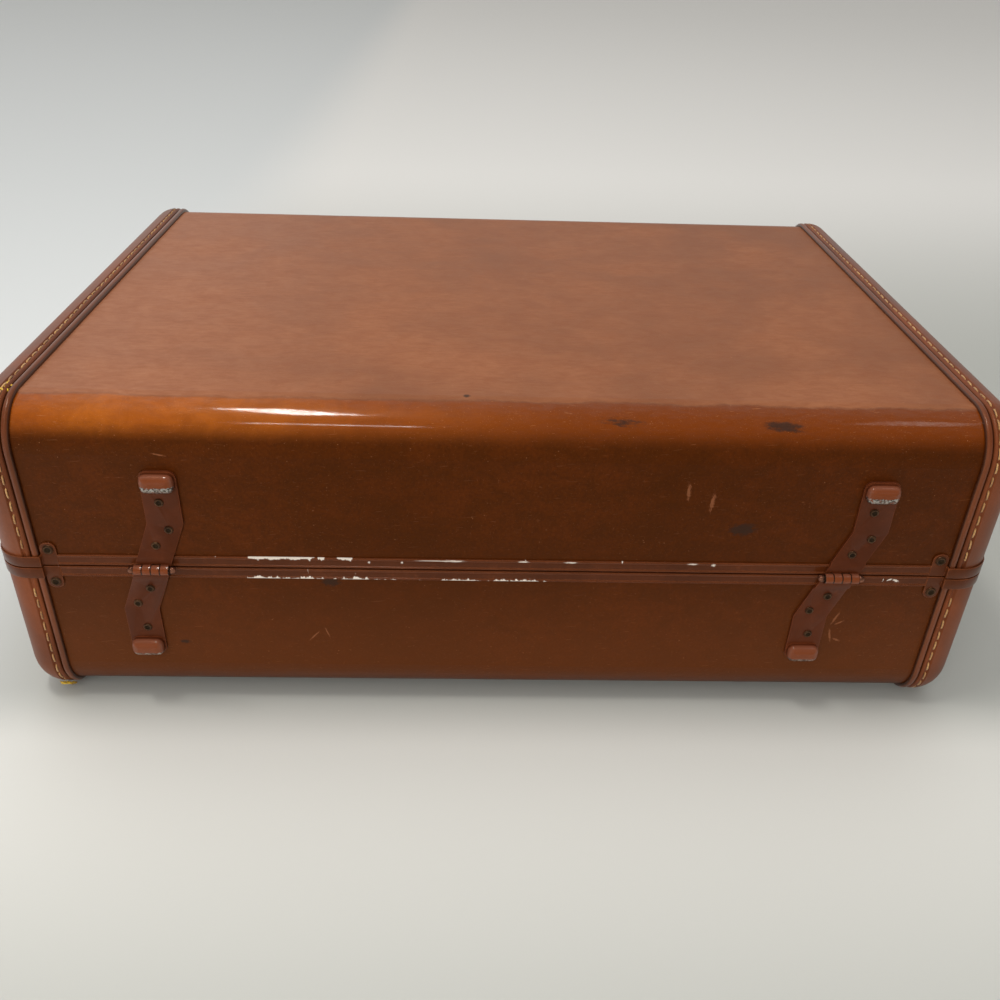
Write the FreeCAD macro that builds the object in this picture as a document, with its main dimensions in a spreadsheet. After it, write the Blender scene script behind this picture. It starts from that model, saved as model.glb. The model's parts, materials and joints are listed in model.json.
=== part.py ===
import FreeCAD, Part
import os
import Sketcher

# A hard travel case of the stitched, riveted kind, lying flat with its hinges towards -Y and its
# handle and latches towards +Y. X runs along the case, Z is up, and z = 0 is the table.
# Left and right are as seen from the hinge side, so left is -X.

doc = FreeCAD.newDocument("suitcase")

# Driving dimensions, in millimetres
SIZES = {
    "body_length": 604.0,          # end panel to end panel, without the leather
    "body_width": 415.0,           # hinge wall to handle wall
    "body_height": 210.0,          # flat of the bottom to flat of the top
    "long_edge_radius": 28.0,      # the four long edges
    "end_edge_radius": 17.0,       # the edges round each end
    "wall": 4.5,                   # covered plywood
    "lining": 1.2,                 # cloth on card
    "leather": 3.0,                # end bindings, and how far the body stands off the table
    "seam_height": 108.5,          # middle of the closing line above the table
    "seam_gap": 1.0,
    "case_shift": -6.0,            # body's centre in Y, so that the whole part is centred
    "binding_start": 277.0,        # where the leather begins, from the middle of the case
    "piping_width": 4.5,
    "binding_face": 28.0,          # width of the leather on the end face
    "window_radius": 22.0,
    "rim_length": 533.0,
    "rim_height": 7.3,
    "rim_thickness": 1.2,
    "rim_web": 0.8,
    "end_rim_thickness": 0.9,
    "ear_width": 9.6,
    "ear_height": 16.0,
    "ear_corner": 4.4,
    "ear_rivet_height": 11.8,
    "ear_rivet_inset": 4.6,
    "lip_depth": 12.0,             # closing lip below the seam
    "lip_rise": 5.0,               # closing lip above the seam
    "lip_clearance": 0.4,
    "lip_thickness": 1.2,
    "lining_gap": 1.5,             # lid lining's edge above the lip
    "shell_joint": 1.0,            # shell's end short of the rounded end edge
    "hinge_spacing": 421.0,        # pin centre to pin centre
    "pin_offset": 4.6,             # hinge axis outside the wall
    "pin_radius": 1.6,
    "pin_head_radius": 2.2,
    "pin_head_overhang": 1.5,      # ball's centre past the leaf's side
    "bore_clearance": 0.05,
    "knuckle_radius": 3.2,
    "knuckle_gap": 0.1,
    "leaf_width": 21.5,
    "leaf_thickness": 1.6,
    "leaf_length": 67.5,           # from the axis to the leaf's end
    "leaf_knee": 32.0,             # from the axis to the bend in the outline
    "leaf_offset": 12.0,           # sideways step of the straight stretch
    "leaf_corner": 5.0,
    "first_rivet_offset": 4.2,     # sideways from the leaf's middle, and from the axis
    "first_rivet_height": 16.0,
    "second_rivet_offset": 13.5,
    "second_rivet_height": 27.5,
    "third_rivet_offset": 10.75,
    "third_rivet_height": 46.5,
    "leaf_over_rim": 1.3,          # inner face where the leaf passes over the rim
    "leaf_crank": 1.2,             # height of the step down from the rim to the wall
    "leaf_root": 0.8,              # leaf's edge in its knuckles, from the axis
    "notch_clearance": 0.4,        # round the other leaf's knuckles
    "foot_height": 8.0,            # domed foot, from the wall
    "foot_length": 13.0,
    "foot_inset": 0.7,             # foot's sides inside the leaf's
    "foot_radius": 3.6,            # edge round the foot's face
    "foot_corner": 4.2,
    "rivet_head_radius": 2.7,
    "rivet_head_height": 1.1,
    "rivet_crown": 0.6,            # top of a head, as a share of its foot
    "rivet_shank_radius": 1.2,
    "rivet_depth": 3.0,            # of the shank in the wall
    "rim_rivet_head_radius": 3.2,
    "small_rivet_head_radius": 2.1,
    "handle_spacing": 150.0,       # pivot eye to pivot eye
    "handle_height": 84.0,         # pivot above the table
    "handle_offset": 11.5,         # pivot outside the wall
    "handle_reach": 40.0,          # pivot to the middle of the grip
    "grip_bend": 24.0,
    "grip_width": 20.0,
    "grip_thickness": 17.0,
    "grip_start": 10.0,            # pivot to the leather's end
    "eye_radius": 4.0,
    "eye_width": 9.0,
    "handle_pin_radius": 2.0,
    "handle_pin_head_radius": 2.9,
    "pin_head_height": 1.2,
    "lug_thickness": 2.0,
    "bracket_width": 26.0,
    "bracket_height": 30.0,
    "bracket_corner": 4.0,
    "bracket_rivet_inset": 5.0,
    "lug_clearance": 0.3,
    "neck_thickness": 6.0,
    "plate_thickness": 1.5,
    "plate_gap": 1.5,              # latch plates clear of the rims
    "plate_corner": 5.0,
    "latch_spacing": 380.0,
    "latch_width": 46.0,
    "latch_height": 30.0,
    "latch_rivet_inset": 3.0,
    "latch_rivet_spread": 18.0,
    "housing_width": 34.0,
    "housing_depth": 5.0,          # front of the lock housing, from the wall
    "housing_back": 0.5,
    "housing_top_inset": 1.0,
    "housing_foot_inset": 2.0,
    "housing_corner": 3.0,
    "mouth_width": 16.0,           # open-topped mouth for the hasp's tongue
    "mouth_floor": 2.1,
    "cavity_width": 28.0,          # room for the slide's bolt
    "cavity_front": 3.6,
    "cavity_wall": 4.0,            # below the cavity, to the plate's lower edge
    "cavity_rise": 2.0,            # cavity's top above the button's top
    "button_width": 8.0,
    "button_height": 4.5,
    "button_drop": 3.0,            # button's top below the hasp's end
    "mouth_rise": 4.0,             # mouth's lower end above the button's top
    "button_front": 8.0,
    "button_length": 5.0,
    "button_corner": 1.2,
    "button_clearance": 0.3,
    "bolt_width": 15.0,
    "bolt_border": 1.0,            # bolt above and below the button
    "bolt_clearance": 0.2,
    "keyhole_radius": 1.6,
    "keyhole_offset": 9.5,
    "keyhole_drop": 4.0,           # below the hasp's end
    "hasp_width": 24.0,
    "hasp_drop": 24.0,             # end of the hasp below the seam
    "hasp_axis_height": 14.0,      # hasp hinge above the seam
    "hasp_axis_offset": 4.4,
    "hasp_thickness": 1.7,
    "hasp_knuckle_radius": 2.6,
    "hasp_pin_radius": 1.2,
    "hasp_pin_length": 35.4,
    "hasp_corner": 5.0,
    "hasp_clearance": 0.2,         # between the hasp's barrel and each ear
    "hasp_ear_width": 5.4,
    "hasp_ear_spacing": 30.0,
    "hasp_plate_width": 36.0,
    "hasp_plate_top": 36.0,        # above the seam
    "hasp_rivet_height": 30.0,     # above the seam
    "hasp_rivet_spacing": 24.0,
    "tongue_width": 12.0,
    "tongue_height": 4.0,
    "tongue_drop": 16.0,           # tongue's top below the seam
    "tongue_back": 2.6,            # tongue's end, from the wall
    "slide_travel": 6.0,
    "strap_width": 25.0,
    "strap_thickness": 1.6,
    "strap_spacing": 300.0,
    "strap_margin": 4.0,           # strap's end short of the rounded floor edge
    "buckle_length": 36.0,
    "buckle_width": 28.0,
    "buckle_bar": 3.5,
    "buckle_thickness": 2.4,
    "pocket_length": 500.0,
    "pocket_depth": 7.0,
    "pocket_reach": 240.0,
    "pocket_edge": 3.2,
}

size = doc.addObject("Spreadsheet::Sheet", "size")
for row, (alias, number) in enumerate(SIZES.items(), start=1):
    size.set(f"A{row}", alias)
    size.set(f"B{row}", str(number))
    size.setAlias(f"B{row}", alias)
doc.recompute()

FRONT_WALL = "size.body_width / 2"
SEAM = "size.seam_height"
BASE_EDGE = "size.seam_height - size.seam_gap / 2"
LID_EDGE = "size.seam_height + size.seam_gap / 2"
FAR = "2 * size.body_length"
DRILL = "20"
REAMER = "60"
HALVES = {"base": -1, "lid": 1}
SIDES = {"left": -1, "right": 1}
ABOUT_Y = FreeCAD.Rotation(FreeCAD.Vector(0, 1, 0), 90)
ABOUT_X = FreeCAD.Rotation(FreeCAD.Vector(1, 0, 0), -90)

CLOSE = 1e-4

parts = []


def worked_out(expression):
    """The number that an expression on the sheet gives now."""
    result = size.evalExpression(expression.replace("size.", ""))
    return float(getattr(result, "Value", result))


def bind(thing, **properties):
    """Tie properties to the sheet; a double underscore stands for a dot."""
    for name, expression in properties.items():
        thing.setExpression(name.replace("__", "."), expression)
    return thing


def place(thing, x, y, z):
    """Tie a piece's position to the sheet."""
    return bind(thing, Placement__Base__x=x, Placement__Base__y=y, Placement__Base__z=z)


def box(name, x, y, z):
    """Box between two expressions along each axis."""
    block = doc.addObject("Part::Box", name)
    bind(block, Length=f"({x[1]}) - ({x[0]})", Width=f"({y[1]}) - ({y[0]})", Height=f"({z[1]}) - ({z[0]})")
    return place(block, x[0], y[0], z[0])


def rod(name, radius, length, centre, turn):
    """Round bar whose middle is at the centre, turned from Z by a rotation."""
    bar = doc.addObject("Part::Cylinder", name)
    bind(bar, Radius=radius, Height=length)
    bar.Placement.Rotation = turn
    x, y, z = centre
    if turn is ABOUT_Y:
        x = f"{x} - ({length}) / 2"
    if turn is ABOUT_X:
        y = f"{y} - ({length}) / 2"
    return place(bar, x, y, z)


def ball(name, radius, centre):
    """Sphere at a centre."""
    return place(bind(doc.addObject("Part::Sphere", name), Radius=radius), *centre)


def fused(name, *shapes):
    """Several touching shapes made one."""
    joined = doc.addObject("Part::MultiFuse", name)
    joined.Shapes = list(shapes)
    joined.Refine = True
    return joined


def cut(name, base, *tools):
    """A shape with one or more tools taken out of it."""
    tool = tools[0] if len(tools) == 1 else fused(name + "_tools", *tools)
    left = doc.addObject("Part::Cut", name)
    left.Base = base
    left.Tool = tool
    return left


def shared(name, one, other):
    """What two shapes have in common."""
    kept = doc.addObject("Part::Common", name)
    kept.Base = one
    kept.Tool = other
    return kept


def group(name, *shapes):
    """Separate solids that share one node."""
    several = doc.addObject("Part::Compound", name)
    several.Links = list(shapes)
    return several


def keep(label, thing):
    """Name a finished sub-part and bring it to its place in the part's frame."""
    thing.Label = label
    bind(thing, Placement__Base__y="size.case_shift")
    parts.append(thing)


def sketch_on(body, role, name, offset="0"):
    """Sketch on one of a body's own origin planes, moved along the plane's normal."""
    plane = next(item for item in body.Origin.OriginFeatures if item.Role == role)
    sketch = body.newObject("Sketcher::SketchObject", name)
    sketch.AttachmentSupport = [(plane, "")]
    sketch.MapMode = "FlatFace"
    return bind(sketch, AttachmentOffset__Base__z=offset)


def tie(sketch, kind, places, expression):
    """Measured constraint that takes its value from the sheet."""
    row = sketch.addConstraint(Sketcher.Constraint(kind, *places, worked_out(expression)))
    sketch.setExpression(f"Constraints[{row}]", expression)


def outline(sketch, corners):
    """Closed straight-sided outline, each corner tied to the sheet."""
    points = [FreeCAD.Vector(worked_out(across), worked_out(up), 0) for across, up in corners]
    for start, end in zip(points, points[1:] + points[:1]):
        sketch.addGeometry(Part.LineSegment(start, end), False)
    for index in range(len(corners)):
        following = (index + 1) % len(corners)
        sketch.addConstraint(Sketcher.Constraint("Coincident", index, 2, following, 1))
    for index, corner in enumerate(corners):
        for kind, expression in zip(("DistanceX", "DistanceY"), corner):
            tie(sketch, kind, (-1, 1, index, 1), expression)


def padded(name, role, corners, start, depth):
    """Body made by padding an outline from one distance along its plane's normal."""
    body = doc.addObject("PartDesign::Body", name)
    sketch = sketch_on(body, role, name + "_outline", start)
    outline(sketch, corners)
    pad = body.newObject("PartDesign::Pad", name + "_pad")
    pad.Profile = sketch
    bind(pad, Length=depth)
    doc.recompute()
    return body


def rounded(body, name, radius, wanted):
    """Round the edges of a body that a test picks out."""
    picked = [f"Edge{n}" for n, edge in enumerate(body.Tip.Shape.Edges, start=1) if wanted(edge)]
    fillet = body.newObject("PartDesign::Fillet", name)
    fillet.Base = (body.Tip if body.Tip is not fillet else body.Group[-2], picked)
    bind(fillet, Radius=radius)
    doc.recompute()
    return body


def along(axis):
    """Test for straight edges that run along one axis."""
    def wanted(edge):
        reach = edge.BoundBox
        lengths = (reach.XLength, reach.YLength, reach.ZLength)
        return edge.Length > CLOSE and abs(lengths[axis] - edge.Length) < CLOSE
    return wanted


def rectangle(low, high):
    """Corners of an upright rectangle, anticlockwise."""
    return [(low[0], low[1]), (high[0], low[1]), (high[0], high[1]), (low[0], high[1])]


def block(name, grow, x_low=None, x_high=None, edge=None):
    """The case's outer form grown on all sides, or a slice of it across X."""
    half = f"size.body_width / 2 + ({grow})"
    low = f"size.leather - ({grow})"
    high = f"size.leather + size.body_height + ({grow})"
    x_low = x_low or f"-size.body_length / 2 - ({grow})"
    x_high = x_high or f"size.body_length / 2 + ({grow})"
    edge = edge or f"size.end_edge_radius + ({grow})"
    corners = rectangle((f"-({half})", low), (half, high))
    body = padded(name, "YZ_Plane", corners, x_low, f"({x_high}) - ({x_low})")
    rounded(body, name + "_long_edges", f"size.long_edge_radius + ({grow})", along(0))
    ends = [worked_out(x_low), worked_out(x_high)]

    def round_an_end(item):
        reach = item.BoundBox
        return reach.XLength < CLOSE and min(abs(reach.XMin - end) for end in ends) < CLOSE

    return rounded(body, name + "_end_edges", edge, round_an_end)


def front(offset):
    """Distance from the handle wall, outwards."""
    return f"{FRONT_WALL} + {offset}"


def from_seam(low, high):
    """Stretch of height between two distances from the seam, upwards."""
    return (f"{SEAM} + ({low})", f"{SEAM} + ({high})")


def about(middle, width):
    """Stretch along one axis, of a width about a middle."""
    return (f"{middle} - ({width}) / 2", f"{middle} + ({width}) / 2")


def front_plate(name, across, up, back, thickness, corner):
    """Plate with rounded corners, its back face at a distance outside the handle wall."""
    low, high = zip(across, up)
    face = f"-({FRONT_WALL} + {back} + {thickness})"
    plate = padded(name, "XZ_Plane", rectangle(low, high), face, thickness)
    return rounded(plate, name + "_corners", corner, along(1))


def half_space(name, half, edge, x=None):
    """Everything below the base's edge, or above the lid's, over a stretch of X."""
    x = x or (f"-({FAR})", FAR)
    across = (f"-({FAR})", FAR)
    return box(name, x, across, (f"-({FAR})", edge) if half < 0 else (edge, FAR))


# Nested forms that the walls, leather, rims and linings are cut from
skin = block("skin_form", "0")
inside = block("inside_form", "-size.wall")
leather_form = block("leather_form", "size.leather")
rim_form = block("rim_form", "size.leather + size.end_rim_thickness")
lining_form = block("lining_form", "-size.wall - size.lining")
lip_outer = block("lip_outer_form", "-size.wall - size.lip_clearance")
lip_inner = block("lip_inner_form", "-size.wall - size.lip_clearance - size.lip_thickness")

hollow = cut("hollow_case", skin, inside)
lining_skin = cut("lining_skin", inside, lining_form)
leather_skin = cut("leather_skin", leather_form, skin)
window = padded("end_window", "YZ_Plane",
                rectangle((f"-({FRONT_WALL} - size.binding_face)", "size.leather + size.binding_face"),
                          (f"{FRONT_WALL} - size.binding_face",
                           "size.leather + size.body_height - size.binding_face")),
                f"-({FAR})", f"2 * ({FAR})")
rounded(window, "end_window_corners", "size.window_radius", along(0))
leather_ends = cut("leather_ends", leather_skin, window)
rim_skin = cut("rim_skin", rim_form, leather_form)
rim_solid = cut("rim_solid", rim_form, skin)
rim_web_solid = cut("rim_web_solid", rim_form, inside)

SHELL_END = "size.body_length / 2 - size.end_edge_radius - size.shell_joint"
PIPING_END = "size.binding_start + size.piping_width"
EAR_START = "size.rim_length / 2"
EAR_END = "size.rim_length / 2 + size.ear_width"


def walls(half_name, half):
    """Wrapped shell, two dished end panels, and the lining of one half."""
    edge = BASE_EDGE if half < 0 else LID_EDGE
    wall_edge = f"{edge} + {half} * size.rim_web"
    middle = half_space(f"{half_name}_shell_region", half, wall_edge, (f"-({SHELL_END})", SHELL_END))
    keep(f"{half_name}_shell", shared(f"{half_name}_shell", hollow, middle))
    for side_name, side in SIDES.items():
        reach = (f"-({FAR})", f"-({SHELL_END})") if side < 0 else (SHELL_END, FAR)
        region = half_space(f"{half_name}_end_{side_name}_region", half, wall_edge, reach)
        keep(f"{half_name}_end_{side_name}", shared(f"{half_name}_end_{side_name}", hollow, region))
    lining_edge = f"{edge} - size.lip_depth" if half < 0 else f"{edge} + size.lip_rise + size.lining_gap"
    region = half_space(f"{half_name}_lining_region", half, lining_edge)
    keep(f"{half_name}_lining", shared(f"{half_name}_lining", lining_skin, region))


def leatherwork(half_name, half, side_name, side):
    """Stitched binding and the corded piping along its inner edge."""
    edge = BASE_EDGE if half < 0 else LID_EDGE
    wall_edge = f"{edge} + {half} * size.rim_web"
    name = f"{half_name}_binding_{side_name}"
    reach = (f"-({FAR})", f"-({PIPING_END})") if side < 0 else (PIPING_END, FAR)
    keep(name, shared(name, leather_ends, half_space(name + "_region", half, wall_edge, reach)))
    name = f"{half_name}_piping_{side_name}"
    region = half_space(name + "_region", half, wall_edge)
    keep(name, shared(name, piping_rings[side_name], region))


def rim_corners(half, side, height):
    """Section of a rim: a flange on the wall and a web over the wall's edge."""
    edge = BASE_EDGE if half < 0 else LID_EDGE
    face = f"{side} * ({FRONT_WALL})"
    out = f"{side} * ({FRONT_WALL} + size.rim_thickness)"
    back = f"{side} * ({FRONT_WALL} - size.wall)"
    web = f"{edge} + {half} * size.rim_web"
    end = f"{edge} + {half} * {height}"
    return [(out, edge), (out, end), (face, end), (face, web), (back, web), (back, edge)]


def long_rims(half_name, half):
    """Straight metal edging between the bindings, on the hinge wall and the handle wall."""
    for side_name, side in (("back", -1), ("front", 1)):
        name = f"{half_name}_rim_{side_name}"
        start = "-size.rim_length / 2"
        body = padded(name, "YZ_Plane", rim_corners(half, side, "size.rim_height"), start, "size.rim_length")
        keep(name, body)


def end_rim(half_name, half, side_name, side):
    """Metal edging that passes over the leather round one end, with an ear at each wall."""
    name = f"{half_name}_end_rim_{side_name}"
    edge = BASE_EDGE if half < 0 else LID_EDGE
    band = sorted((edge, f"{edge} + {half} * size.rim_height"), key=worked_out)
    web = sorted((edge, f"{edge} + {half} * size.rim_web"), key=worked_out)
    across = (f"-({FAR})", FAR)

    def beyond(start, end=FAR):
        return (start, end) if side > 0 else (f"-({end})", f"-({start})")

    over_leather = box(name + "_band_region", beyond("size.binding_start"), across, band)
    beside_leather = box(name + "_step_region", beyond(EAR_END, "size.binding_start"), across, band)
    over_edge = box(name + "_web_region", beyond(EAR_END), across, web)
    pieces = [shared(name + "_band", rim_skin, over_leather),
              shared(name + "_step", rim_solid, beside_leather),
              shared(name + "_web", rim_web_solid, over_edge)]
    start = EAR_START if side > 0 else f"-({EAR_END})"
    for wall_name, wall in (("back", -1), ("front", 1)):
        ear = padded(f"{name}_ear_{wall_name}", "YZ_Plane", rim_corners(half, wall, "size.ear_height"),
                     start, "size.ear_width")
        tip = worked_out(f"{edge} + {half} * size.ear_height")
        rounded(ear, f"{name}_ear_{wall_name}_corners", "size.ear_corner",
                lambda item: along(1)(item) and abs(item.BoundBox.ZMin - tip) < CLOSE)
        pieces.append(ear)
    whole = fused(name + "_whole", *pieces)
    holes = [rod(f"{name}_hole_{wall_name}", "size.rivet_shank_radius", DRILL,
                 (f"{side} * ({EAR_START} + size.ear_rivet_inset)", f"{wall} * ({FRONT_WALL})",
                  f"{SEAM} + {half} * size.ear_rivet_height"), ABOUT_X)
             for wall_name, wall in (("back", -1), ("front", 1))]
    keep(name, cut(name, whole, *holes))


def rivet(name, x, wall, z, seat, head_radius="size.rivet_head_radius"):
    """Rivet with a low domed head on a seat outside a wall; wall is -1 at the hinges, 1 at the handle."""
    shank_length = f"{seat} + size.rivet_depth"
    middle = f"{wall} * ({FRONT_WALL} + ({seat} - size.rivet_depth) / 2)"
    shank = rod(name + "_shank", "size.rivet_shank_radius", shank_length, (x, middle, z), ABOUT_X)
    head = doc.addObject("Part::Cone", name + "_head")
    wide, narrow = head_radius, f"{head_radius} * size.rivet_crown"
    low = f"{wall} * ({FRONT_WALL} + {seat})"
    high = f"{wall} * ({FRONT_WALL} + {seat} + size.rivet_head_height)"
    bind(head, Radius1=wide if wall > 0 else narrow, Radius2=narrow if wall > 0 else wide,
         Height="size.rivet_head_height")
    head.Placement.Rotation = ABOUT_X
    place(head, x, low if wall > 0 else high, z)
    return fused(name, shank, head)


def rim_rivets(half_name, half):
    """Four rivets through the ears of one half's end rims."""
    pieces = [rivet(f"{half_name}_rim_rivet_{side_name}_{wall_name}",
                    f"{side} * ({EAR_START} + size.ear_rivet_inset)", wall,
                    f"{SEAM} + {half} * size.ear_rivet_height", "size.rim_thickness",
                    "size.rim_rivet_head_radius")
              for side_name, side in SIDES.items() for wall_name, wall in (("back", -1), ("front", 1))]
    keep(f"{half_name}_rim_rivets", group(f"{half_name}_rim_rivets", *pieces))


piping_rings = {}
for side_name, side in SIDES.items():
    x_low = "size.binding_start" if side > 0 else f"-({PIPING_END})"
    x_high = PIPING_END if side > 0 else "-size.binding_start"
    ring_form = block(f"piping_form_{side_name}", "size.leather", x_low, x_high, "size.piping_width / 3")
    piping_rings[side_name] = cut(f"piping_ring_{side_name}", ring_form, skin)

for half_name, half in HALVES.items():
    walls(half_name, half)
    long_rims(half_name, half)
    rim_rivets(half_name, half)
    for side_name, side in SIDES.items():
        leatherwork(half_name, half, side_name, side)
        end_rim(half_name, half, side_name, side)

# Closing lip: stands above the seam inside the lid's wall and keeps the halves in line
across = (f"-({FAR})", FAR)
lip_seat = shared("lip_seat", inside, box("lip_seat_region", across, across,
                                          (f"{BASE_EDGE} - size.lip_depth", BASE_EDGE)))
lip_tongue = shared("lip_tongue", lip_outer, box("lip_tongue_region", across, across,
                                                 (BASE_EDGE, f"{SEAM} + size.lip_rise")))
keep("closing_lip", cut("closing_lip", fused("lip_blank", lip_seat, lip_tongue), lip_inner))

# Hinges. The two leaves of a hinge step sideways in opposite directions, so that the
# domed feet pass each other when the lid is folded right back.
HINGE_RIVETS = [(f"size.{which}_rivet_offset", f"size.{which}_rivet_height")
                for which in ("first", "second", "third")]
KNUCKLE = "size.leaf_width / 4"


def hinge_leaf(half_name, half, side_name, side):
    """One leaf: cranked over the rim, knuckled at the axis, with a domed foot at its end."""
    name = f"hinge_leaf_{half_name}_{side_name}"
    pin_x = f"{side} * size.hinge_spacing / 2"

    def at_x(offset):
        return f"{pin_x} + {half} * ({offset})"

    def at_z(height):
        return f"{SEAM} + {half} * ({height})"

    def out(offset):
        return f"-({FRONT_WALL} + {offset})"

    flat = [(at_x("-size.leaf_width / 2"), at_z("size.leaf_root")),
            (at_x("size.leaf_width / 2"), at_z("size.leaf_root")),
            (at_x("size.leaf_offset + size.leaf_width / 2"), at_z("size.leaf_knee")),
            (at_x("size.leaf_offset + size.leaf_width / 2"), at_z("size.leaf_length")),
            (at_x("size.leaf_offset - size.leaf_width / 2"), at_z("size.leaf_length")),
            (at_x("size.leaf_offset - size.leaf_width / 2"), at_z("size.leaf_knee"))]
    plan = padded(name + "_plan", "XZ_Plane", flat, "0", FAR)
    tip = worked_out(at_z("size.leaf_length"))
    rounded(plan, name + "_plan_corners", "size.leaf_corner",
            lambda item: along(1)(item) and abs(item.BoundBox.ZMin - tip) < CLOSE)
    over = "size.leaf_over_rim"
    step = "size.rim_height + size.leaf_crank"
    crank = [(out("0"), at_z("size.leaf_length")), (out("0"), at_z(step)),
             (out(over), at_z(f"{step} - size.leaf_crank / 2")), (out(over), at_z("size.leaf_root")),
             (out(f"{over} + size.leaf_thickness"), at_z("size.leaf_root")),
             (out(f"{over} + size.leaf_thickness"), at_z(step)),
             (out("size.leaf_thickness"), at_z(f"{step} + 1.5 * size.leaf_crank")),
             (out("size.leaf_thickness"), at_z("size.leaf_length"))]
    strip = padded(name + "_crank", "YZ_Plane", crank, f"{pin_x} - 2 * size.leaf_width",
                   "4 * size.leaf_width")
    strap = shared(name + "_strap", strip, plan)

    inset = "size.foot_inset"
    foot_x = sorted((at_x(f"size.leaf_offset - size.leaf_width / 2 + {inset}"),
                     at_x(f"size.leaf_offset + size.leaf_width / 2 - {inset}")), key=worked_out)
    foot_z = sorted((at_z("size.leaf_length - size.foot_length"), at_z(f"size.leaf_length - {inset}")),
                    key=worked_out)
    foot = padded(name + "_foot", "XZ_Plane", rectangle((foot_x[0], foot_z[0]), (foot_x[1], foot_z[1])),
                  FRONT_WALL, "size.foot_height")
    rounded(foot, name + "_foot_sides", "size.foot_corner", along(1))
    face = -worked_out(f"{FRONT_WALL} + size.foot_height")
    rounded(foot, name + "_foot_face", "size.foot_radius",
            lambda item: item.BoundBox.YLength < CLOSE and abs(item.BoundBox.YMin - face) < CLOSE)

    knuckles, notches = [], []
    for index in range(4):
        middle = f"{pin_x} + ({index} - 1.5) * {KNUCKLE}"
        centre = (middle, out("size.pin_offset"), SEAM)
        if (index % 2 == 0) == (half < 0):
            knuckles.append(rod(f"{name}_knuckle_{index}", "size.knuckle_radius",
                                f"{KNUCKLE} - 2 * size.knuckle_gap", centre, ABOUT_Y))
        else:
            ends = about(middle, f"{KNUCKLE} + 2 * size.knuckle_gap")
            reach = sorted((at_z("0"), at_z("size.knuckle_radius + size.notch_clearance")), key=worked_out)
            notches.append(box(f"{name}_notch_{index}", ends, (out("2 * size.pin_offset"), out("0")), reach))
    bore = rod(name + "_bore", "size.pin_radius + size.bore_clearance", REAMER,
               (pin_x, out("size.pin_offset"), SEAM), ABOUT_Y)
    holes = [rod(f"{name}_hole_{n}", "size.rivet_shank_radius", DRILL,
                 (at_x(offset), out("0"), at_z(height)), ABOUT_X)
             for n, (offset, height) in enumerate(HINGE_RIVETS)]
    notched = cut(name + "_notched", strap, *notches)
    whole = fused(name + "_whole", notched, foot, *knuckles)
    keep(name, cut(name, whole, bore, *holes))


for half_name, half in HALVES.items():
    for side_name, side in SIDES.items():
        hinge_leaf(half_name, half, side_name, side)
    pieces = [rivet(f"{half_name}_hinge_rivet_{side_name}_{n}",
                    f"{side} * size.hinge_spacing / 2 + {half} * {offset}", -1,
                    f"{SEAM} + {half} * {height}", "size.leaf_thickness")
              for side_name, side in SIDES.items() for n, (offset, height) in enumerate(HINGE_RIVETS)]
    keep(f"{half_name}_hinge_rivets", group(f"{half_name}_hinge_rivets", *pieces))

for side_name, side in SIDES.items():
    name = f"hinge_pin_{side_name}"
    pin_x = f"{side} * size.hinge_spacing / 2"
    pin_y = f"-({FRONT_WALL} + size.pin_offset)"
    shaft = rod(name + "_shaft", "size.pin_radius", "size.leaf_width + size.pin_head_overhang",
                (pin_x, pin_y, SEAM), ABOUT_Y)
    heads = [ball(f"{name}_head_{n}", "size.pin_head_radius",
                  (f"{pin_x} + {end} * (size.leaf_width / 2 + size.pin_head_overhang)", pin_y, SEAM))
             for n, end in enumerate((-1, 1))]
    keep(name, fused(name, shaft, *heads))

# Handle, hanging against the front wall from two riveted brackets
HANDLE_Y = f"{FRONT_WALL} + size.handle_offset"
BRACKET_RIVET_STEP = "(size.bracket_height / 2 - size.bracket_rivet_inset)"
BRACKETS = {side_name: f"{side} * size.handle_spacing / 2" for side_name, side in SIDES.items()}


def handle_mount(side_name, middle):
    """Bracket with two lugs that carries one eye of the handle."""
    name = f"handle_bracket_{side_name}"
    lug = "size.eye_width / 2 + size.lug_clearance"
    plate = front_plate(name + "_plate", about(middle, "size.bracket_width"),
                        about("size.handle_height", "size.bracket_height"), "0", "size.plate_thickness",
                        "size.bracket_corner")
    pieces = [plate]
    for n, end in enumerate((-1, 1)):
        lug_middle = f"{middle} + {end} * ({lug} + size.lug_thickness / 2)"
        pieces.append(box(f"{name}_lug_{n}", about(lug_middle, "size.lug_thickness"), (FRONT_WALL, HANDLE_Y),
                          about("size.handle_height", "2 * size.eye_radius")))
        pieces.append(rod(f"{name}_lug_end_{n}", "size.eye_radius", "size.lug_thickness",
                          (lug_middle, HANDLE_Y, "size.handle_height"), ABOUT_Y))
    bore = rod(name + "_bore", "size.handle_pin_radius + size.bore_clearance", REAMER,
               (middle, HANDLE_Y, "size.handle_height"), ABOUT_Y)
    holes = [rod(f"{name}_hole_{n}", "size.rivet_shank_radius", DRILL,
                 (middle, FRONT_WALL, f"size.handle_height + {step} * {BRACKET_RIVET_STEP}"), ABOUT_X)
             for n, step in enumerate((-1, 1))]
    keep(name, cut(name, fused(name + "_whole", *pieces), bore, *holes))


def handle_pin(name, middle):
    """Pivot pin with a flat head outside each lug."""
    reach = "size.eye_width / 2 + size.lug_clearance + size.lug_thickness"
    bar = rod(name + "_bar", "size.handle_pin_radius", f"2 * ({reach} + size.pin_head_height)",
              (middle, HANDLE_Y, "size.handle_height"), ABOUT_Y)
    heads = []
    for n, end in enumerate((-1, 1)):
        centre = f"{middle} + {end} * ({reach} + size.bore_clearance + size.pin_head_height / 2)"
        heads.append(rod(f"{name}_head_{n}", "size.handle_pin_head_radius", "size.pin_head_height",
                         (centre, HANDLE_Y, "size.handle_height"), ABOUT_Y))
    return fused(name, bar, *heads)


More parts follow.
